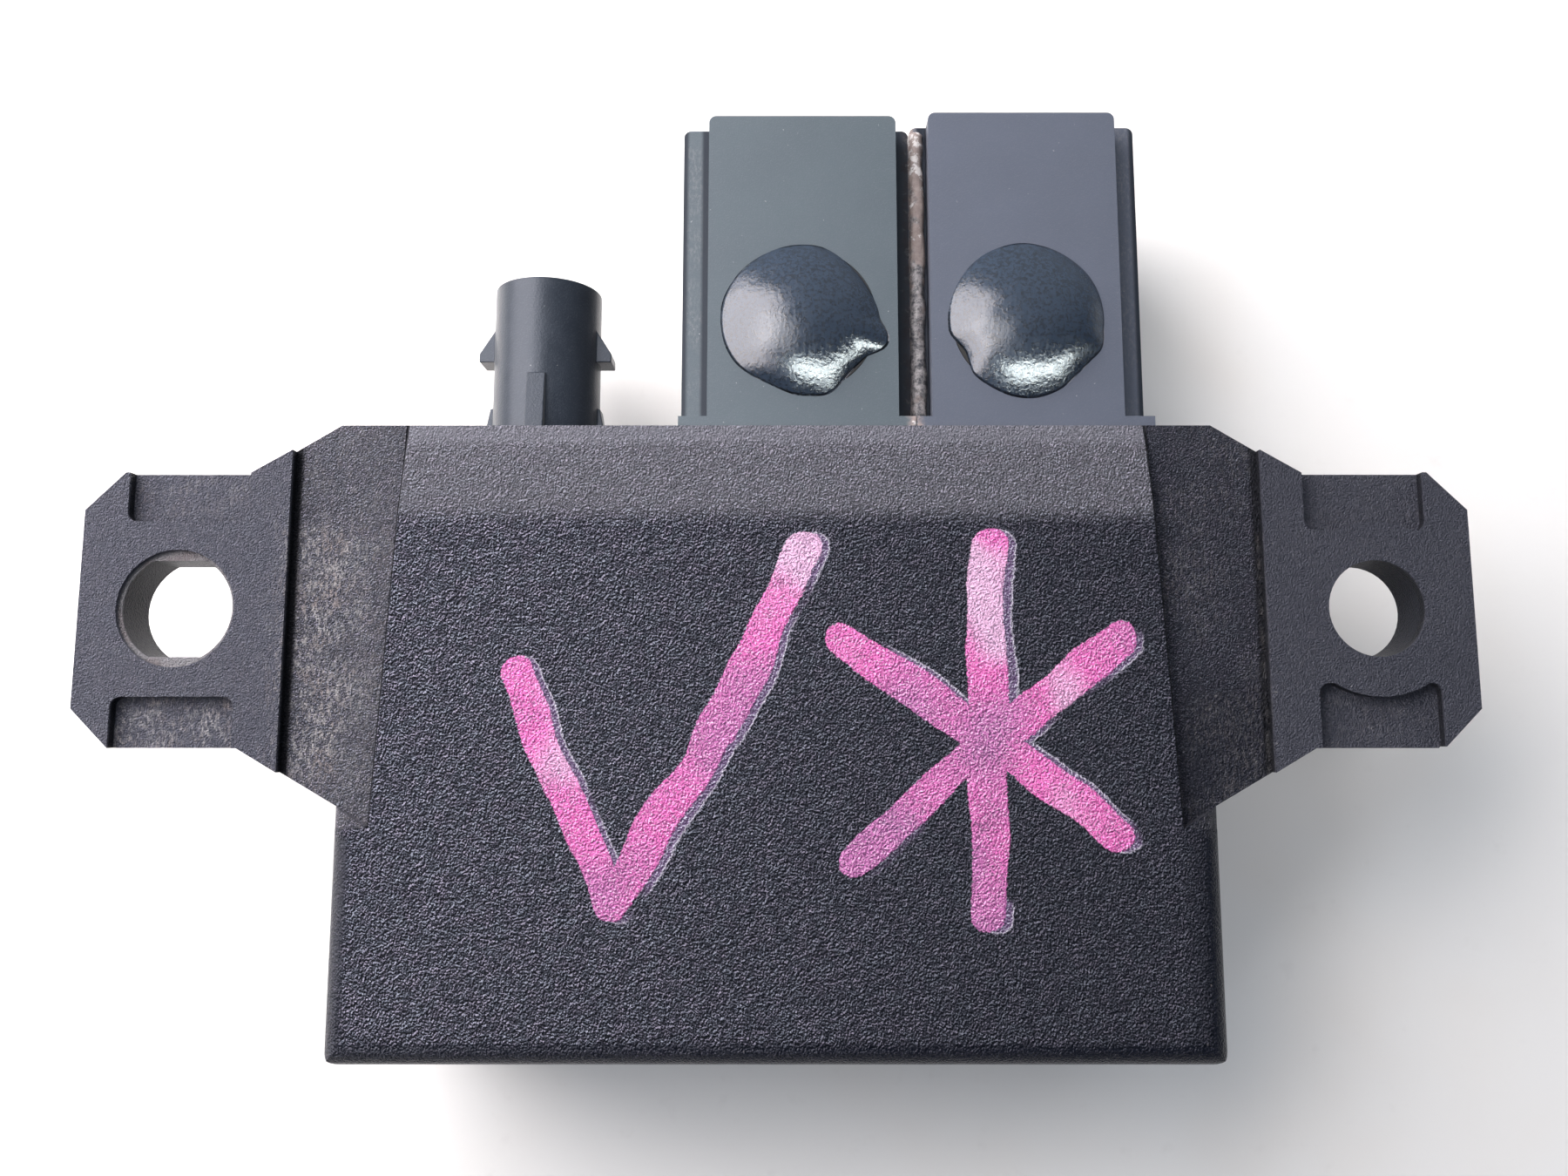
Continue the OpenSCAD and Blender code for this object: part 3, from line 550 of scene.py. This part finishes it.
def housing_paint(tree, place, on, grain, settings, tone):
    """Painted mark over a tone: ragged edges, thin over the grain, a ghost of each stroke beside it,
    a painted reflection that makes it paler towards the top, and painted highlights on the lit grain.
    Returns the tone and the mask of the paint."""
    paint, thin_paint, paint_highlight = (tuple(settings.paint), tuple(settings.thin_paint),
                                     tuple(settings.paint_highlight))
    sway = put(tree, "TexNoise", {"Vector": place, "Scale": 90.0, "Detail": 1.0}).outputs["Color"]
    swayed = put(tree, "VectorMath", {0: vector_math(tree, "SUBTRACT", sway, (0.5, 0.5, 0.5)),
                                      "Scale": 0.0030}, operation="SCALE").outputs[0]
    hand = vector_math(tree, "ADD", place, swayed)
    ragged = times(tree, minus(tree, noise(tree, place, 0.00042, 3.0, 0.7), 0.5), 0.22)
    rough = math(tree, "MULTIPLY_ADD", minus(tree, grain["Height"], 0.5), 0.10, ragged)
    stroke, beside = (
        plus(tree, use_group(tree, "Painted Mark", Vector=vector_math(tree, "ADD", hand, shift),
                             Width=settings.stroke)["Distance"], rough)
        for shift in ((0.0, 0.0, 0.0), (-0.0009, 0.0001, 0.0)))
    body = times(tree, smooth(tree, stroke, 1.02, 0.95), on.paintable)
    patch = noise(tree, place, 0.014, 1.0, 0.5, (0.07, 0.02, 0.0))
    ghost = times(tree, smooth(tree, beside, 1.02, 0.95), smooth(tree, patch, 0.44, 0.50),
                  on.paintable)
    rim = times(tree, smooth(tree, beside, 0.86, 0.96), ghost)
    rubbed = times(tree, noise(tree, place, 0.004, 2.0, 0.5, (0.0, 0.5, 0.0)), 0.9)
    thick = smooth(tree, plus(tree, grain["Height"], rubbed), 0.42, 0.80)
    shade = minus(tree, noise(tree, place, 0.012, 1.0, 0.5, (0.3, 0.2, 0.0)), 0.5)
    # Painted reflection: the paint is drawn paler towards the top
    pale = math(tree, "MULTIPLY_ADD", shade, 3.0, times(tree, on.y, 22.0))
    mauve = math(tree, "MULTIPLY_ADD", shade, -2.5, times(tree, on.y, -14.0))
    pigment = blend(tree, smooth(tree, pale, -0.15, 0.45), paint, paint_highlight)
    pigment = tint(tree, pigment, smooth(tree, mauve, 0.05, 0.75), 0.65, (0.38, 0.17, 0.40))
    # Painted highlights: paler paint, and lighter thin paint, on the lit side of each grain
    pigment = tint(tree, pigment, grain["Painted Highlight"], 0.7, paint_highlight)
    thin = blend(tree, grain["Painted Highlight"], thin_paint, (0.55, 0.50, 0.66))
    thin = blend(tree, rim, thin, (0.72, 0.68, 0.80))
    pigment = blend(tree, thick, blend(tree, 0.5, pigment, thin_paint), pigment)
    tone = tint(tree, tone, ghost, 0.85, thin)
    cover = times(tree, body, math(tree, "MULTIPLY_ADD", thick, 0.25, 0.75))
    return blend(tree, cover, tone, pigment), cover


def housing_material(settings):
    plastic = tuple(settings.plastic)
    material, tree, bsdf = new_material("grained_housing_plastic", plastic, 0.42,
                                        specular_ior_level=0.34,
                                        specular_tint=(0.84, 0.88, 1.0, 1.0))
    place = object_place(tree)
    on = housing_zones(tree, place)
    grain = use_group(tree, "Moulded Grain", Vector=place, Size=settings.grain)
    fine = use_group(tree, "Moulded Grain", Vector=place, Size=settings.grain * 0.8)
    depth = outside(tree, times(tree, on.web, 0.30))
    depth = minus(tree, depth, times(tree, on.polished, 0.6))
    depth = minus(tree, depth, times(tree, on.ear, 0.25))
    height, grain_highlight, grain_shade = (
        times(tree, blend(tree, on.web, grain[name], fine[name]), depth)
        for name in ("Height", "Painted Highlight", "Painted Shade"))

    tone = housing_plastic(tree, place, on, grain_highlight, grain_shade, plastic)
    dust = housing_dust(tree, place, on)
    brown = smooth(tree, noise(tree, place, 0.003, 2.0, 0.6, (0.9, 0.0, 0.3)), 0.4, 0.7)
    tone = blend(tree, dust, tone, blend(tree, brown, tuple(settings.dust), (0.31, 0.26, 0.25)))
    # Painted shade: the bores of the holes and the walls of the pockets are drawn near black
    tone = tint(tree, tone, on.bore, 0.85, (0.002, 0.003, 0.006))
    tone = tint(tree, tone, on.pocket_wall, 0.9, (0.001, 0.001, 0.002))
    # Painted shade: the foot of each step from web to ear and the groove of each crease are drawn
    # near black
    tone = tint(tree, tone, on.foot, 0.97, CREASE_SHADE_BLACK)
    tone = tint(tree, tone, on.seam, 0.97, CREASE_SHADE_BLACK)
    tone, cover = housing_paint(tree, place, on, grain, settings, tone)

    roughness = (0.42,) * 3
    for mask, level in ((on.ear, 0.44), (on.rounded, 0.3), (dust, 0.8), (cover, 0.55)):
        roughness = blend(tree, mask, roughness, (level,) * 3)
    height = plus(tree, height, times(tree, cover, 0.25))
    height = minus(tree, height, times(tree, on.seam, 0.8))
    height = times(tree, height, outside(tree, times(tree, on.rounded, 0.8)))
    surface(tree, bsdf, tone, roughness, height, GRAIN_RELIEF)
    return material


class SENSOR_OT_housing(bpy.types.Operator):
    """Finish the front housing: rounded moulded edges, grain, dust, painted light and shade, and the
    painted mark
    """

    bl_idname = "sensor.housing"
    bl_label = "Front Housing"

    def execute(self, context):
        settings = context.scene.sensor_housing
        build_mark()
        piece = moulded_copy("front_housing", settings.edge)
        dress(piece, housing_material(settings))
        return {"FINISHED"}


class SENSOR_OT_cover(bpy.types.Operator):
    """Finish the rear cover, its screws and its seal"""

    bl_idname = "sensor.cover"
    bl_label = "Rear Cover"

    def execute(self, context):
        settings = context.scene.sensor_housing
        cover = plain_finish("smooth_cover_plastic", (0.020, 0.021, 0.026), 0.5, depth=0.00004,
                             vary=0.5)
        steel = plain_finish("plated_screw_steel", (0.60, 0.58, 0.54), 0.34, 0.0005, 0.000006,
                             0.15, metallic=1.0)
        rubber = plain_finish("black_seal_rubber", (0.012, 0.012, 0.012), 0.7, grain=0.0002)
        dress(moulded_copy("rear_cover", settings.edge), cover)
        dress(moulded_copy("cover_screws", settings.edge * 0.5), steel)
        paint_node("cover_seal", rubber)
        return {"FINISHED"}


# ---------- towers ----------

PANEL_MIDDLE = 0.01215  # middle of each tower's front panel, from the split between the towers
PANEL_HALF = 0.01035    # half the panel's width
BEAD_FOOT = 5.3 * MM    # from the towers' lower edge to the bead of grime between them
BEAD_HEAD = 0.6 * MM    # from the bead to the towers' upper edge
BEAD_SIDE = 0.75 * MM   # from the split to the bead's axis
BEAD_Z = 22.15 * MM
BEAD_RADIUS = 0.85 * MM
BEAD_RINGS = 110


def tower_split():
    """X of the split between the towers."""
    return (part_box("left_tower")[1].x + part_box("right_tower")[0].x) / 2


def tower_material(settings):
    plastic = tuple(settings.plastic)
    split = tower_split()
    material, tree, bsdf = new_material("satin_tower_plastic", plastic, 0.42,
                                        specular_tint=(0.84, 0.90, 1.0, 1.0))
    place = object_place(tree)
    x, _, z = axes(tree, place)
    grain = use_group(tree, "Moulded Grain", Vector=place, Size=0.00012)
    broad = noise(tree, place, 0.006, 3.0, 0.6)
    cloudy = noise(tree, place, 0.0015, 3.0, 0.6, (0.3, 0.0, 0.2))
    greenish = smooth(tree, x, split + 0.001, split - 0.001)
    tone = blend(tree, greenish, plastic, (0.074, 0.095, 0.108))
    tone = tint(tree, tone, broad, 0.35, (0.05, 0.056, 0.07))
    # Painted highlights on the lit side of the fine grain
    tone = tint(tree, tone, grain["Painted Highlight"], 0.18, (0.15, 0.155, 0.18))

    # Grime rubbed into the seam between the towers and dust along the rails beside the panels
    seam = math(tree, "ABSOLUTE", minus(tree, x, split))
    uneven = math(tree, "MULTIPLY_ADD", noise(tree, place, 0.0022, 3.0, 0.7, (0.5, 0.5, 0.0)),
                  0.0016, -0.0001)
    packed = smooth(tree, minus(tree, seam, uneven), 0.0005, -0.0003)
    patchy = smooth(tree, noise(tree, place, 0.0011, 4.0, 0.75, (0.0, 0.2, 0.9)),
                    0.36, 0.58, 0.15, 1.0)
    grime = times(tree, packed, patchy)
    rail = smooth(tree, z, 0.0242, 0.0236)
    rubbed = use_group(tree, "Rubbed Dust", Vector=place, Patch=0.004, Streak=0.0003,
                       Amount=0.52)["Mask"]
    tone = tint(tree, tone, times(tree, rail, rubbed), 0.22, (0.30, 0.28, 0.28))
    chalk = smooth(tree, noise(tree, place, 0.0009, 2.0, 0.7, (0.1, 0.3, 0.4)), 0.60, 0.68)
    tone = blend(tree, grime, tone, tint(tree, tuple(settings.grime), chalk, 0.7,
                                         (0.75, 0.72, 0.70)))
    dots = smooth(tree, noise(tree, place, 0.0005, 2.0, 0.5, (0.0, 0.8, 0.1)), 0.74, 0.79)
    tone = tint(tree, tone, dots, 0.5, (0.45, 0.45, 0.45))

    # Painted shade: dark lines at the panels' feet and in the groove, and a painted dark reflection
    # along the outer rims
    off_panel = minus(tree, math(tree, "ABSOLUTE", minus(tree, seam, PANEL_MIDDLE)), PANEL_HALF)
    groove = times(tree, smooth(tree, minus(tree, split, x), 0.0, 0.0002),
                   smooth(tree, seam, 0.0024, 0.0022))
    lines = either(tree, smooth(tree, off_panel, 0.0012, 0.0007), groove)
    lines = either(tree, lines, smooth(tree, seam, 0.0248, 0.0253))
    tone = tint(tree, tone, times(tree, lines, rail), 0.92, (0.004, 0.006, 0.011))
    roughness = plus(tree, smooth(tree, cloudy, 0.3, 0.7, 0.40, 0.47), times(tree, grime, 0.35),
                     clamp=True)
    height = plus(tree, times(tree, grain["Height"], 0.2), times(tree, grime, cloudy))
    surface(tree, bsdf, tone, roughness, height, 0.00003)
    return material


def sealant_material(settings):
    """Glossy sealant with fine shrinkage wrinkles and brushed striations."""
    sealant = tuple(settings.sealant)
    material, tree, bsdf = new_material("wrinkled_black_sealant", sealant, 0.2, ior=1.75)
    place = object_place(tree)
    skin = noise(tree, place, 0.00042, 3.0, 0.62)
    turned = object_place(tree, rotation=(0.0, 0.0, radians(-58.0)), scale=(1.0, 0.16, 1.0))
    strokes = noise(tree, turned, 0.00026, 3.0, 0.6)
    swells = noise(tree, place, 0.0026, 2.0, 0.5, (0.2, 0.6, 0.0))
    tone = blend(tree, smooth(tree, skin, 0.4, 0.7), sealant, (0.012, 0.016, 0.024))
    height = plus(tree, times(tree, skin, 1.3), times(tree, strokes, 0.5))
    height = plus(tree, height, times(tree, swells, 0.6))
    surface(tree, bsdf, tone, smooth(tree, strokes, 0.35, 0.7, 0.13, 0.26), height, 0.00003)
    return material


def sealant_dome(node, name, pulls, tilt):
    """Hand-applied dome of sealant: a cap whose rim is pulled out and in at a few places."""
    low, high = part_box(node)
    middle = (low + high) / 2
    radius = (high.x - low.x) / 2
    rise = high.z - low.z
    ball = (radius ** 2 + rise ** 2) / (2 * rise)
    bpy.ops.object.select_all(action="DESELECT")
    bpy.ops.mesh.primitive_uv_sphere_add(segments=120, ring_count=240, radius=ball,
                                         location=(middle.x, middle.y, high.z - ball))
    piece = bpy.context.active_object
    piece.name = name
    piece.data.name = name
    bpy.ops.object.mode_set(mode="EDIT")
    bpy.ops.mesh.select_all(action="SELECT")
    bpy.ops.mesh.bisect(plane_co=(middle.x, middle.y, low.z), plane_no=(0, 0, 1), use_fill=True,
                        clear_inner=True)
    bpy.ops.mesh.select_all(action="DESELECT")
    bpy.ops.object.mode_set(mode="OBJECT")
    settle(piece)
    for vertex in piece.data.vertices:
        reach = Vector((vertex.co.x - middle.x, vertex.co.y - middle.y))
        share = min(1.0, reach.length / radius)
        angle = atan2(reach.y, reach.x)
        out = 0.0
        for at, distance, width in pulls:
            turn = (angle - radians(at) + pi) % (2 * pi) - pi
            out += distance * MM * max(0.0, 1.0 - (turn / radians(width)) ** 2) ** 2
        if reach.length > 0:
            move = reach.normalized() * out * share ** 4
            vertex.co.x += move.x
            vertex.co.y += move.y
        above = vertex.co.z - low.z
        if above > ON_BASE:
            lean = 1.0 + tilt[0] * reach.x / radius + tilt[1] * reach.y / radius
            vertex.co.z = low.z + above * lean
    piece.data.update()
    displace(piece, name + "_lumps", 0.0042, 1, 0.00014, "Z")
    bpy.ops.object.shade_smooth()
    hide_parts(node)
    return piece


def seam_bead():
    """Lumpy bead of old sealer and grime along the seam between the towers."""
    low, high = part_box("left_tower")
    split = tower_split()
    foot = low.y + BEAD_FOOT
    run = high.y - BEAD_HEAD - foot
    bpy.ops.object.select_all(action="DESELECT")
    bpy.ops.mesh.primitive_cylinder_add(vertices=24, radius=BEAD_RADIUS, depth=run,
                                        location=(split + BEAD_SIDE, foot + run / 2, BEAD_Z),
                                        rotation=(radians(90.0), 0.0, 0.0))
    piece = bpy.context.active_object
    piece.name = "tower_seam_bead"
    settle(piece)
    bpy.ops.object.mode_set(mode="EDIT")
    for step in range(1, BEAD_RINGS):
        bpy.ops.mesh.select_all(action="SELECT")
        bpy.ops.mesh.bisect(plane_co=(split, foot + run * step / BEAD_RINGS, 0.0),
                            plane_no=(0, 1, 0))
    bpy.ops.mesh.select_all(action="DESELECT")
    bpy.ops.object.mode_set(mode="OBJECT")
    displace(piece, "bead_swell", 0.0040, 1, 0.00045, "NORMAL")
    displace(piece, "bead_crumb", 0.0011, 3, 0.00030, "NORMAL")
    bpy.ops.object.shade_smooth()
    return piece


def grime_material(settings):
    grime = tuple(settings.grime)
    material, tree, bsdf = new_material("seam_grime", grime, 0.7)
    place = object_place(tree)
    crumbs = noise(tree, place, 0.0006, 4.0, 0.75)
    patches = noise(tree, place, 0.0030, 3.0, 0.6, (0.2, 0.0, 0.5))
    flakes = noise(tree, place, 0.0013, 3.0, 0.7, (0.1, 0.3, 0.4))
    climb = smooth(tree, axes(tree, place)[1], 0.026, 0.054, -0.12, 0.12)
    tone = blend(tree, smooth(tree, crumbs, 0.35, 0.65), (0.045, 0.046, 0.056), (0.32, 0.30, 0.305))
    bare = smooth(tree, plus(tree, patches, climb), 0.42, 0.56)
    tone = tint(tree, tone, bare, 0.8, grime)
    chalk = smooth(tree, plus(tree, flakes, climb), 0.63, 0.72)
    tone = tint(tree, tone, chalk, 0.8, (0.62, 0.60, 0.60))
    surface(tree, bsdf, tone, smooth(tree, bare, 0.0, 1.0, 0.40, 0.85), crumbs, 0.00012)
    return material


class SENSOR_OT_towers(bpy.types.Operator):
    """Finish the two transducer towers and their gaskets"""

    bl_idname = "sensor.towers"
    bl_label = "Towers"

    def execute(self, context):
        settings = context.scene.sensor_towers
        plastic = tower_material(settings)
        rubber = plain_finish("tower_gasket_rubber", (0.014, 0.014, 0.015), 0.7, grain=0.0002)
        for side in ("left", "right"):
            dress(moulded_copy(side + "_tower", settings.edge, segments=3), plastic)
            paint_node(side + "_tower_gasket", rubber)
        dress(seam_bead(), grime_material(settings))
        return {"FINISHED"}


class SENSOR_OT_domes(bpy.types.Operator):
    """Model the two hand-applied sealant domes over the sounding faces"""

    bl_idname = "sensor.domes"
    bl_label = "Sealant Domes"

    def execute(self, context):
        settings = context.scene.sensor_towers
        sealant = sealant_material(settings)
        # Each pull: angle round the dome, distance in millimetres, half width in degrees
        left = sealant_dome("left_sealant_dome", "left_sealant", (
            (-15, 1.2, 17), (-44, -0.7, 26), (35, -0.6, 45), (-74, 0.3, 14), (-118, -0.4, 30),
            (180, 0.5, 70)), (-0.02, -0.10))
        right = sealant_dome("right_sealant_dome", "right_sealant", (
            (-20, 0.3, 14), (-152, -0.9, 20), (-45, -0.35, 22), (-90, 0.3, 35),
            (95, 0.2, 40)), (0.0, -0.12))
        for piece in (left, right):
            dress(piece, sealant)
        return {"FINISHED"}


# ---------- connector ----------

def connector_material(settings):
    plastic = tuple(settings.plastic)
    material, tree, bsdf = new_material("satin_connector_plastic", plastic, 0.34,
                                        specular_tint=(0.86, 0.92, 1.0, 1.0),
                                        sheen_weight=0.35, sheen_roughness=0.35)
    place = object_place(tree)
    skin = use_group(tree, "Moulded Grain", Vector=place, Size=0.00018)
    cloudy = noise(tree, place, 0.0028, 3.0, 0.6)
    tone = blend(tree, cloudy, plastic, (0.024, 0.030, 0.042))
    # Painted highlights on the lit side of the fine grain
    tone = tint(tree, tone, skin["Painted Highlight"], 0.2, (0.07, 0.075, 0.09))
    dots = smooth(tree, noise(tree, place, 0.0005, 2.0, 0.5, (0.6, 0.1, 0.1)), 0.75, 0.79)
    tone = tint(tree, tone, dots, 0.5, (0.5, 0.5, 0.5))
    surface(tree, bsdf, tone, smooth(tree, cloudy, 0.3, 0.7, 0.31, 0.40), skin["Height"], 0.000012)
    return material


class SENSOR_OT_connector(bpy.types.Operator):
    """Finish the connector shroud, its pins and its seal"""

    bl_idname = "sensor.connector"
    bl_label = "Connector"

    def execute(self, context):
        settings = context.scene.sensor_connector
        brass = plain_finish("plated_pin_brass", tuple(settings.brass), 0.3, 0.0004, 0.000004, 0.12,
                             metallic=1.0)
        rubber = plain_finish("gland_rubber", (0.20, 0.045, 0.022), 0.6)
        dress(moulded_copy("connector_shroud", settings.edge, segments=3),
              connector_material(settings))
        dress(moulded_copy("connector_pins", settings.edge), brass)
        paint_node("connector_seal", rubber)
        return {"FINISHED"}


# ---------- inside ----------

class SENSOR_OT_transducers(bpy.types.Operator):
    """Give the sealed transducer parts their finishes"""

    bl_idname = "sensor.transducers"
    bl_label = "Transducers"

    def execute(self, context):
        finishes = {
            "transducer_can": plain_finish("drawn_aluminium", (0.70, 0.71, 0.73), 0.32, 0.0005,
                                           0.000006, 0.12, metallic=1.0),
            "rubber_ring": plain_finish("ring_rubber", (0.014, 0.014, 0.014), 0.7, grain=0.0002),
            "piezo_disc": plain_finish("silvered_piezo", (0.62, 0.56, 0.42), 0.4, 0.0003, 0.000006,
                                       0.2),
            "damping_foam": plain_finish("damping_foam", (0.10, 0.10, 0.11), 0.95, 0.0005, 0.00012,
                                         0.4),
            "terminal_disc": plain_finish("terminal_laminate", (0.03, 0.13, 0.05), 0.5),
            "can_potting": plain_finish("grey_potting", (0.22, 0.22, 0.19), 0.55, 0.0006, 0.00002,
                                        0.25),
            "support_pad": plain_finish("support_foam", (0.06, 0.06, 0.065), 0.95, 0.0005, 0.00012,
                                        0.4),
            "leads": plain_finish("lead_insulation", (0.42, 0.02, 0.015), 0.45, 0.0004, 0.000006,
                                  0.2),
        }
        for side in ("left_", "right_"):
            for part, finish in finishes.items():
                paint_node(side + part, finish)
        return {"FINISHED"}


def board_material():
    """Green solder mask with copper tracks showing faintly beneath."""
    material, tree, bsdf = new_material("green_board_laminate", (0.012, 0.10, 0.035), 0.35)
    place = object_place(tree, scale=(1.0, 1.0, 0.0))
    cells = put(tree, "TexVoronoi", {"Vector": place, "Scale": 260.0},
                feature="DISTANCE_TO_EDGE").outputs[0]
    tracks = smooth(tree, cells, 0.05, 0.09)
    mottle = noise(tree, place, 0.0006, 2.0, 0.5)
    tone = blend(tree, mottle, (0.010, 0.085, 0.030), (0.014, 0.12, 0.045))
    tone = blend(tree, tracks, (0.03, 0.20, 0.07), tone)
    surface(tree, bsdf, tone, smooth(tree, mottle, 0.3, 0.7, 0.3, 0.42), tracks, 0.00003)
    return material


class SENSOR_OT_board(bpy.types.Operator):
    """Give the circuit board and its parts their finishes"""

    bl_idname = "sensor.board"
    bl_label = "Circuit Board"

    def execute(self, context):
        chip = plain_finish("chip_plastic", (0.018, 0.018, 0.019), 0.55, grain=0.0002)
        finishes = {
            "circuit_board": board_material(),
            "board_screws": plain_finish("board_screw_steel", (0.58, 0.57, 0.55), 0.34, 0.0005,
                                         0.000005, 0.15, metallic=1.0),
            "microcontroller": chip, "echo_amplifiers": chip, "bus_transceiver": chip,
            "voltage_regulator": chip,
            "drive_transformers": plain_finish("dark_ferrite", (0.045, 0.043, 0.042), 0.7,
                                               depth=0.00002),
            "electrolytic_capacitors": plain_finish("capacitor_sleeve", (0.012, 0.016, 0.05), 0.3,
                                                    0.0006, 0.000006, 0.2),
            "crystal": plain_finish("crystal_case", (0.72, 0.71, 0.69), 0.25, 0.0006, 0.000004, 0.1,
                                    metallic=1.0),
            "chip_parts": plain_finish("chip_ceramic", (0.30, 0.22, 0.14), 0.5, depth=0.000006),
        }
        for node, finish in finishes.items():
            paint_node(node, finish)
        return {"FINISHED"}


# ---------- stage ----------

FLOOR_SIZE = 4.0
AIM = (0.0, 0.0, 0.02)   # what most lights point at
LENS = 26.0
SENSOR_WIDTH = 36.0
CAMERA_PLACE = (0.00081, -0.01216, 0.1441)
CAMERA_TILT = 7.0
NEAR_CLIP = 0.005
STRIP_X = 0.31           # the strip light hangs level above a point at the right

# Lights: name, place, aim, width, height, radiance and tint
FLOOR_LIGHTS = (
    ("key_window", (-0.165, 0.14, 0.19), AIM, 0.28, 0.24, 9.0, (1.0, 0.95, 0.93)),
    ("window_far", (0.14, 0.46, 0.22), AIM, 0.80, 0.18, 2.2, (1.0, 0.98, 0.96)),
    ("fill_top", (0.05, -0.10, 0.60), (0.05, -0.06, 0.0), 0.30, 0.30, 2.0, (1.0, 0.98, 0.96)),
)
GLOSS_LIGHTS = (
    ("window_left", (-0.21, 0.06, 0.195), AIM, 0.46, 0.26, 5.4, (1.0, 0.93, 0.94)),
    ("window_upper", (-0.15, 0.05, 0.38), AIM, 0.22, 0.22, 3.0, (1.0, 0.96, 0.96)),
    ("strip_near", (STRIP_X, -0.235, 0.42), (STRIP_X, 0.03, 0.02), 0.82, 0.08, 26.0,
     (0.90, 1.0, 1.0)),
)


def soft_light(name, at, target, size, height, radiance, tone):
    """Rectangular area light of a given radiance, aimed at a point."""
    data = bpy.data.lights.new(name, "AREA")
    data.shape = "RECTANGLE"
    data.size = size
    data.size_y = height
    data.energy = radiance * pi * size * height
    data.color = tone
    light = bpy.data.objects.new(name, data)
    bpy.context.scene.collection.objects.link(light)
    light.location = at
    light.rotation_euler = (Vector(target) - Vector(at)).to_track_quat("-Z", "Y").to_euler()
    return light


def floor_material(settings):
    floor = tuple(settings.floor)
    material, tree, bsdf = new_material("pale_table_top", floor, 0.6)
    place = object_place(tree)
    clouds = noise(tree, place, 0.05, 3.0, 0.55)
    flecks = noise(tree, place, 0.004, 3.0, 0.6, (0.3, 0.3, 0.0))
    warm = tuple(c * k for c, k in zip(floor, (0.97, 0.945, 0.92)))
    tone = blend(tree, smooth(tree, clouds, 0.45, 0.75), floor, warm)
    tone = blend(tree, smooth(tree, flecks, 0.6, 0.8, 0.0, 0.12), tone, (0.62, 0.58, 0.56))
    surface(tree, bsdf, tone, smooth(tree, clouds, 0.3, 0.7, 0.5, 0.65), flecks, 0.00003)
    return material


class SENSOR_OT_stage(bpy.types.Operator):
    """Set up the pale table top, the soft lights and the camera"""

    bl_idname = "sensor.stage"
    bl_label = "Stage"

    def execute(self, context):
        scene = context.scene
        settings = scene.sensor_stage
        bpy.ops.object.select_all(action="DESELECT")
        bpy.ops.mesh.primitive_plane_add(size=FLOOR_SIZE, location=(0.0, 0.0, 0.0))
        floor = context.active_object
        floor.name = "table_top"
        floor.data.materials.append(floor_material(settings))
        settle(floor)

        world = bpy.data.worlds.new("pale_room")
        world.use_nodes = True
        tree = world.node_tree
        facing = vector_math(tree, "DOT_PRODUCT", put(tree, "TexCoord").outputs["Generated"],
                             Vector((-0.45, 0.80, 0.25)).normalized())
        room = blend(tree, smooth(tree, facing, -0.45, 0.75), (0.055, 0.078, 0.115),
                     tuple(c * 0.55 for c in settings.sky))
        tree.links.new(room, tree.nodes["Background"].inputs["Color"])
        scene.world = world

        # The first lights light surfaces only, the next show in reflections only
        for light in FLOOR_LIGHTS:
            soft_light(*light).visible_glossy = False
        for light in GLOSS_LIGHTS:
            soft_light(*light).visible_diffuse = False
        domes = bpy.data.collections.new("lit_by_strip")
        for name in ("left_sealant", "right_sealant"):
            domes.objects.link(bpy.data.objects[name])
        bpy.data.objects["strip_near"].light_linking.receiver_collection = domes
        soft_light("fill_right", (0.42, 0.08, 0.05), AIM, 0.30, 0.08, 0.6, (0.92, 0.96, 1.0))

        camera = bpy.data.objects.new("camera", bpy.data.cameras.new("camera"))
        scene.collection.objects.link(camera)
        camera.data.lens = LENS
        camera.data.sensor_width = SENSOR_WIDTH
        camera.data.clip_start = NEAR_CLIP
        camera.location = CAMERA_PLACE
        camera.rotation_euler = (radians(CAMERA_TILT), 0.0, 0.0)
        scene.camera = camera
        scene.view_settings.view_transform = "Standard"
        return {"FINISHED"}


# ---------- panel ----------

OPERATORS = (
    SENSOR_OT_housing, SENSOR_OT_cover, SENSOR_OT_towers, SENSOR_OT_domes, SENSOR_OT_connector,
    SENSOR_OT_transducers, SENSOR_OT_board, SENSOR_OT_stage,
)
SETTINGS = {
    "sensor_housing": HousingSettings, "sensor_towers": TowerSettings,
    "sensor_connector": ConnectorSettings, "sensor_stage": StageSettings,
}


class SENSOR_PT_panel(bpy.types.Panel):
    """Buttons and settings for the sensor"""

    bl_idname = "SENSOR_PT_panel"
    bl_label = "Distance Sensor"
    bl_space_type = "VIEW_3D"
    bl_region_type = "UI"
    bl_category = "Sensor"

    def draw(self, context):
        for group in SETTINGS:
            box = self.layout.box()
            settings = getattr(context.scene, group)
            for name in settings.__annotations__:
                box.prop(settings, name)
        for operator in OPERATORS:
            self.layout.operator(operator.bl_idname)


def register():
    for item in (*SETTINGS.values(), *OPERATORS, SENSOR_PT_panel):
        bpy.utils.register_class(item)
    for name, group in SETTINGS.items():
        setattr(bpy.types.Scene, name, PointerProperty(type=group))


def unregister():
    for name in SETTINGS:
        delattr(bpy.types.Scene, name)
    for item in reversed((*SETTINGS.values(), *OPERATORS, SENSOR_PT_panel)):
        bpy.utils.unregister_class(item)


def main():
    register()
    for build in (build_grain, build_scuff, build_region, build_stroke):
        build()
    bpy.ops.sensor.housing()
    bpy.ops.sensor.cover()
    bpy.ops.sensor.towers()
    bpy.ops.sensor.domes()
    bpy.ops.sensor.connector()
    bpy.ops.sensor.transducers()
    bpy.ops.sensor.board()
    bpy.ops.sensor.stage()


if __name__ == "__main__":
    main()
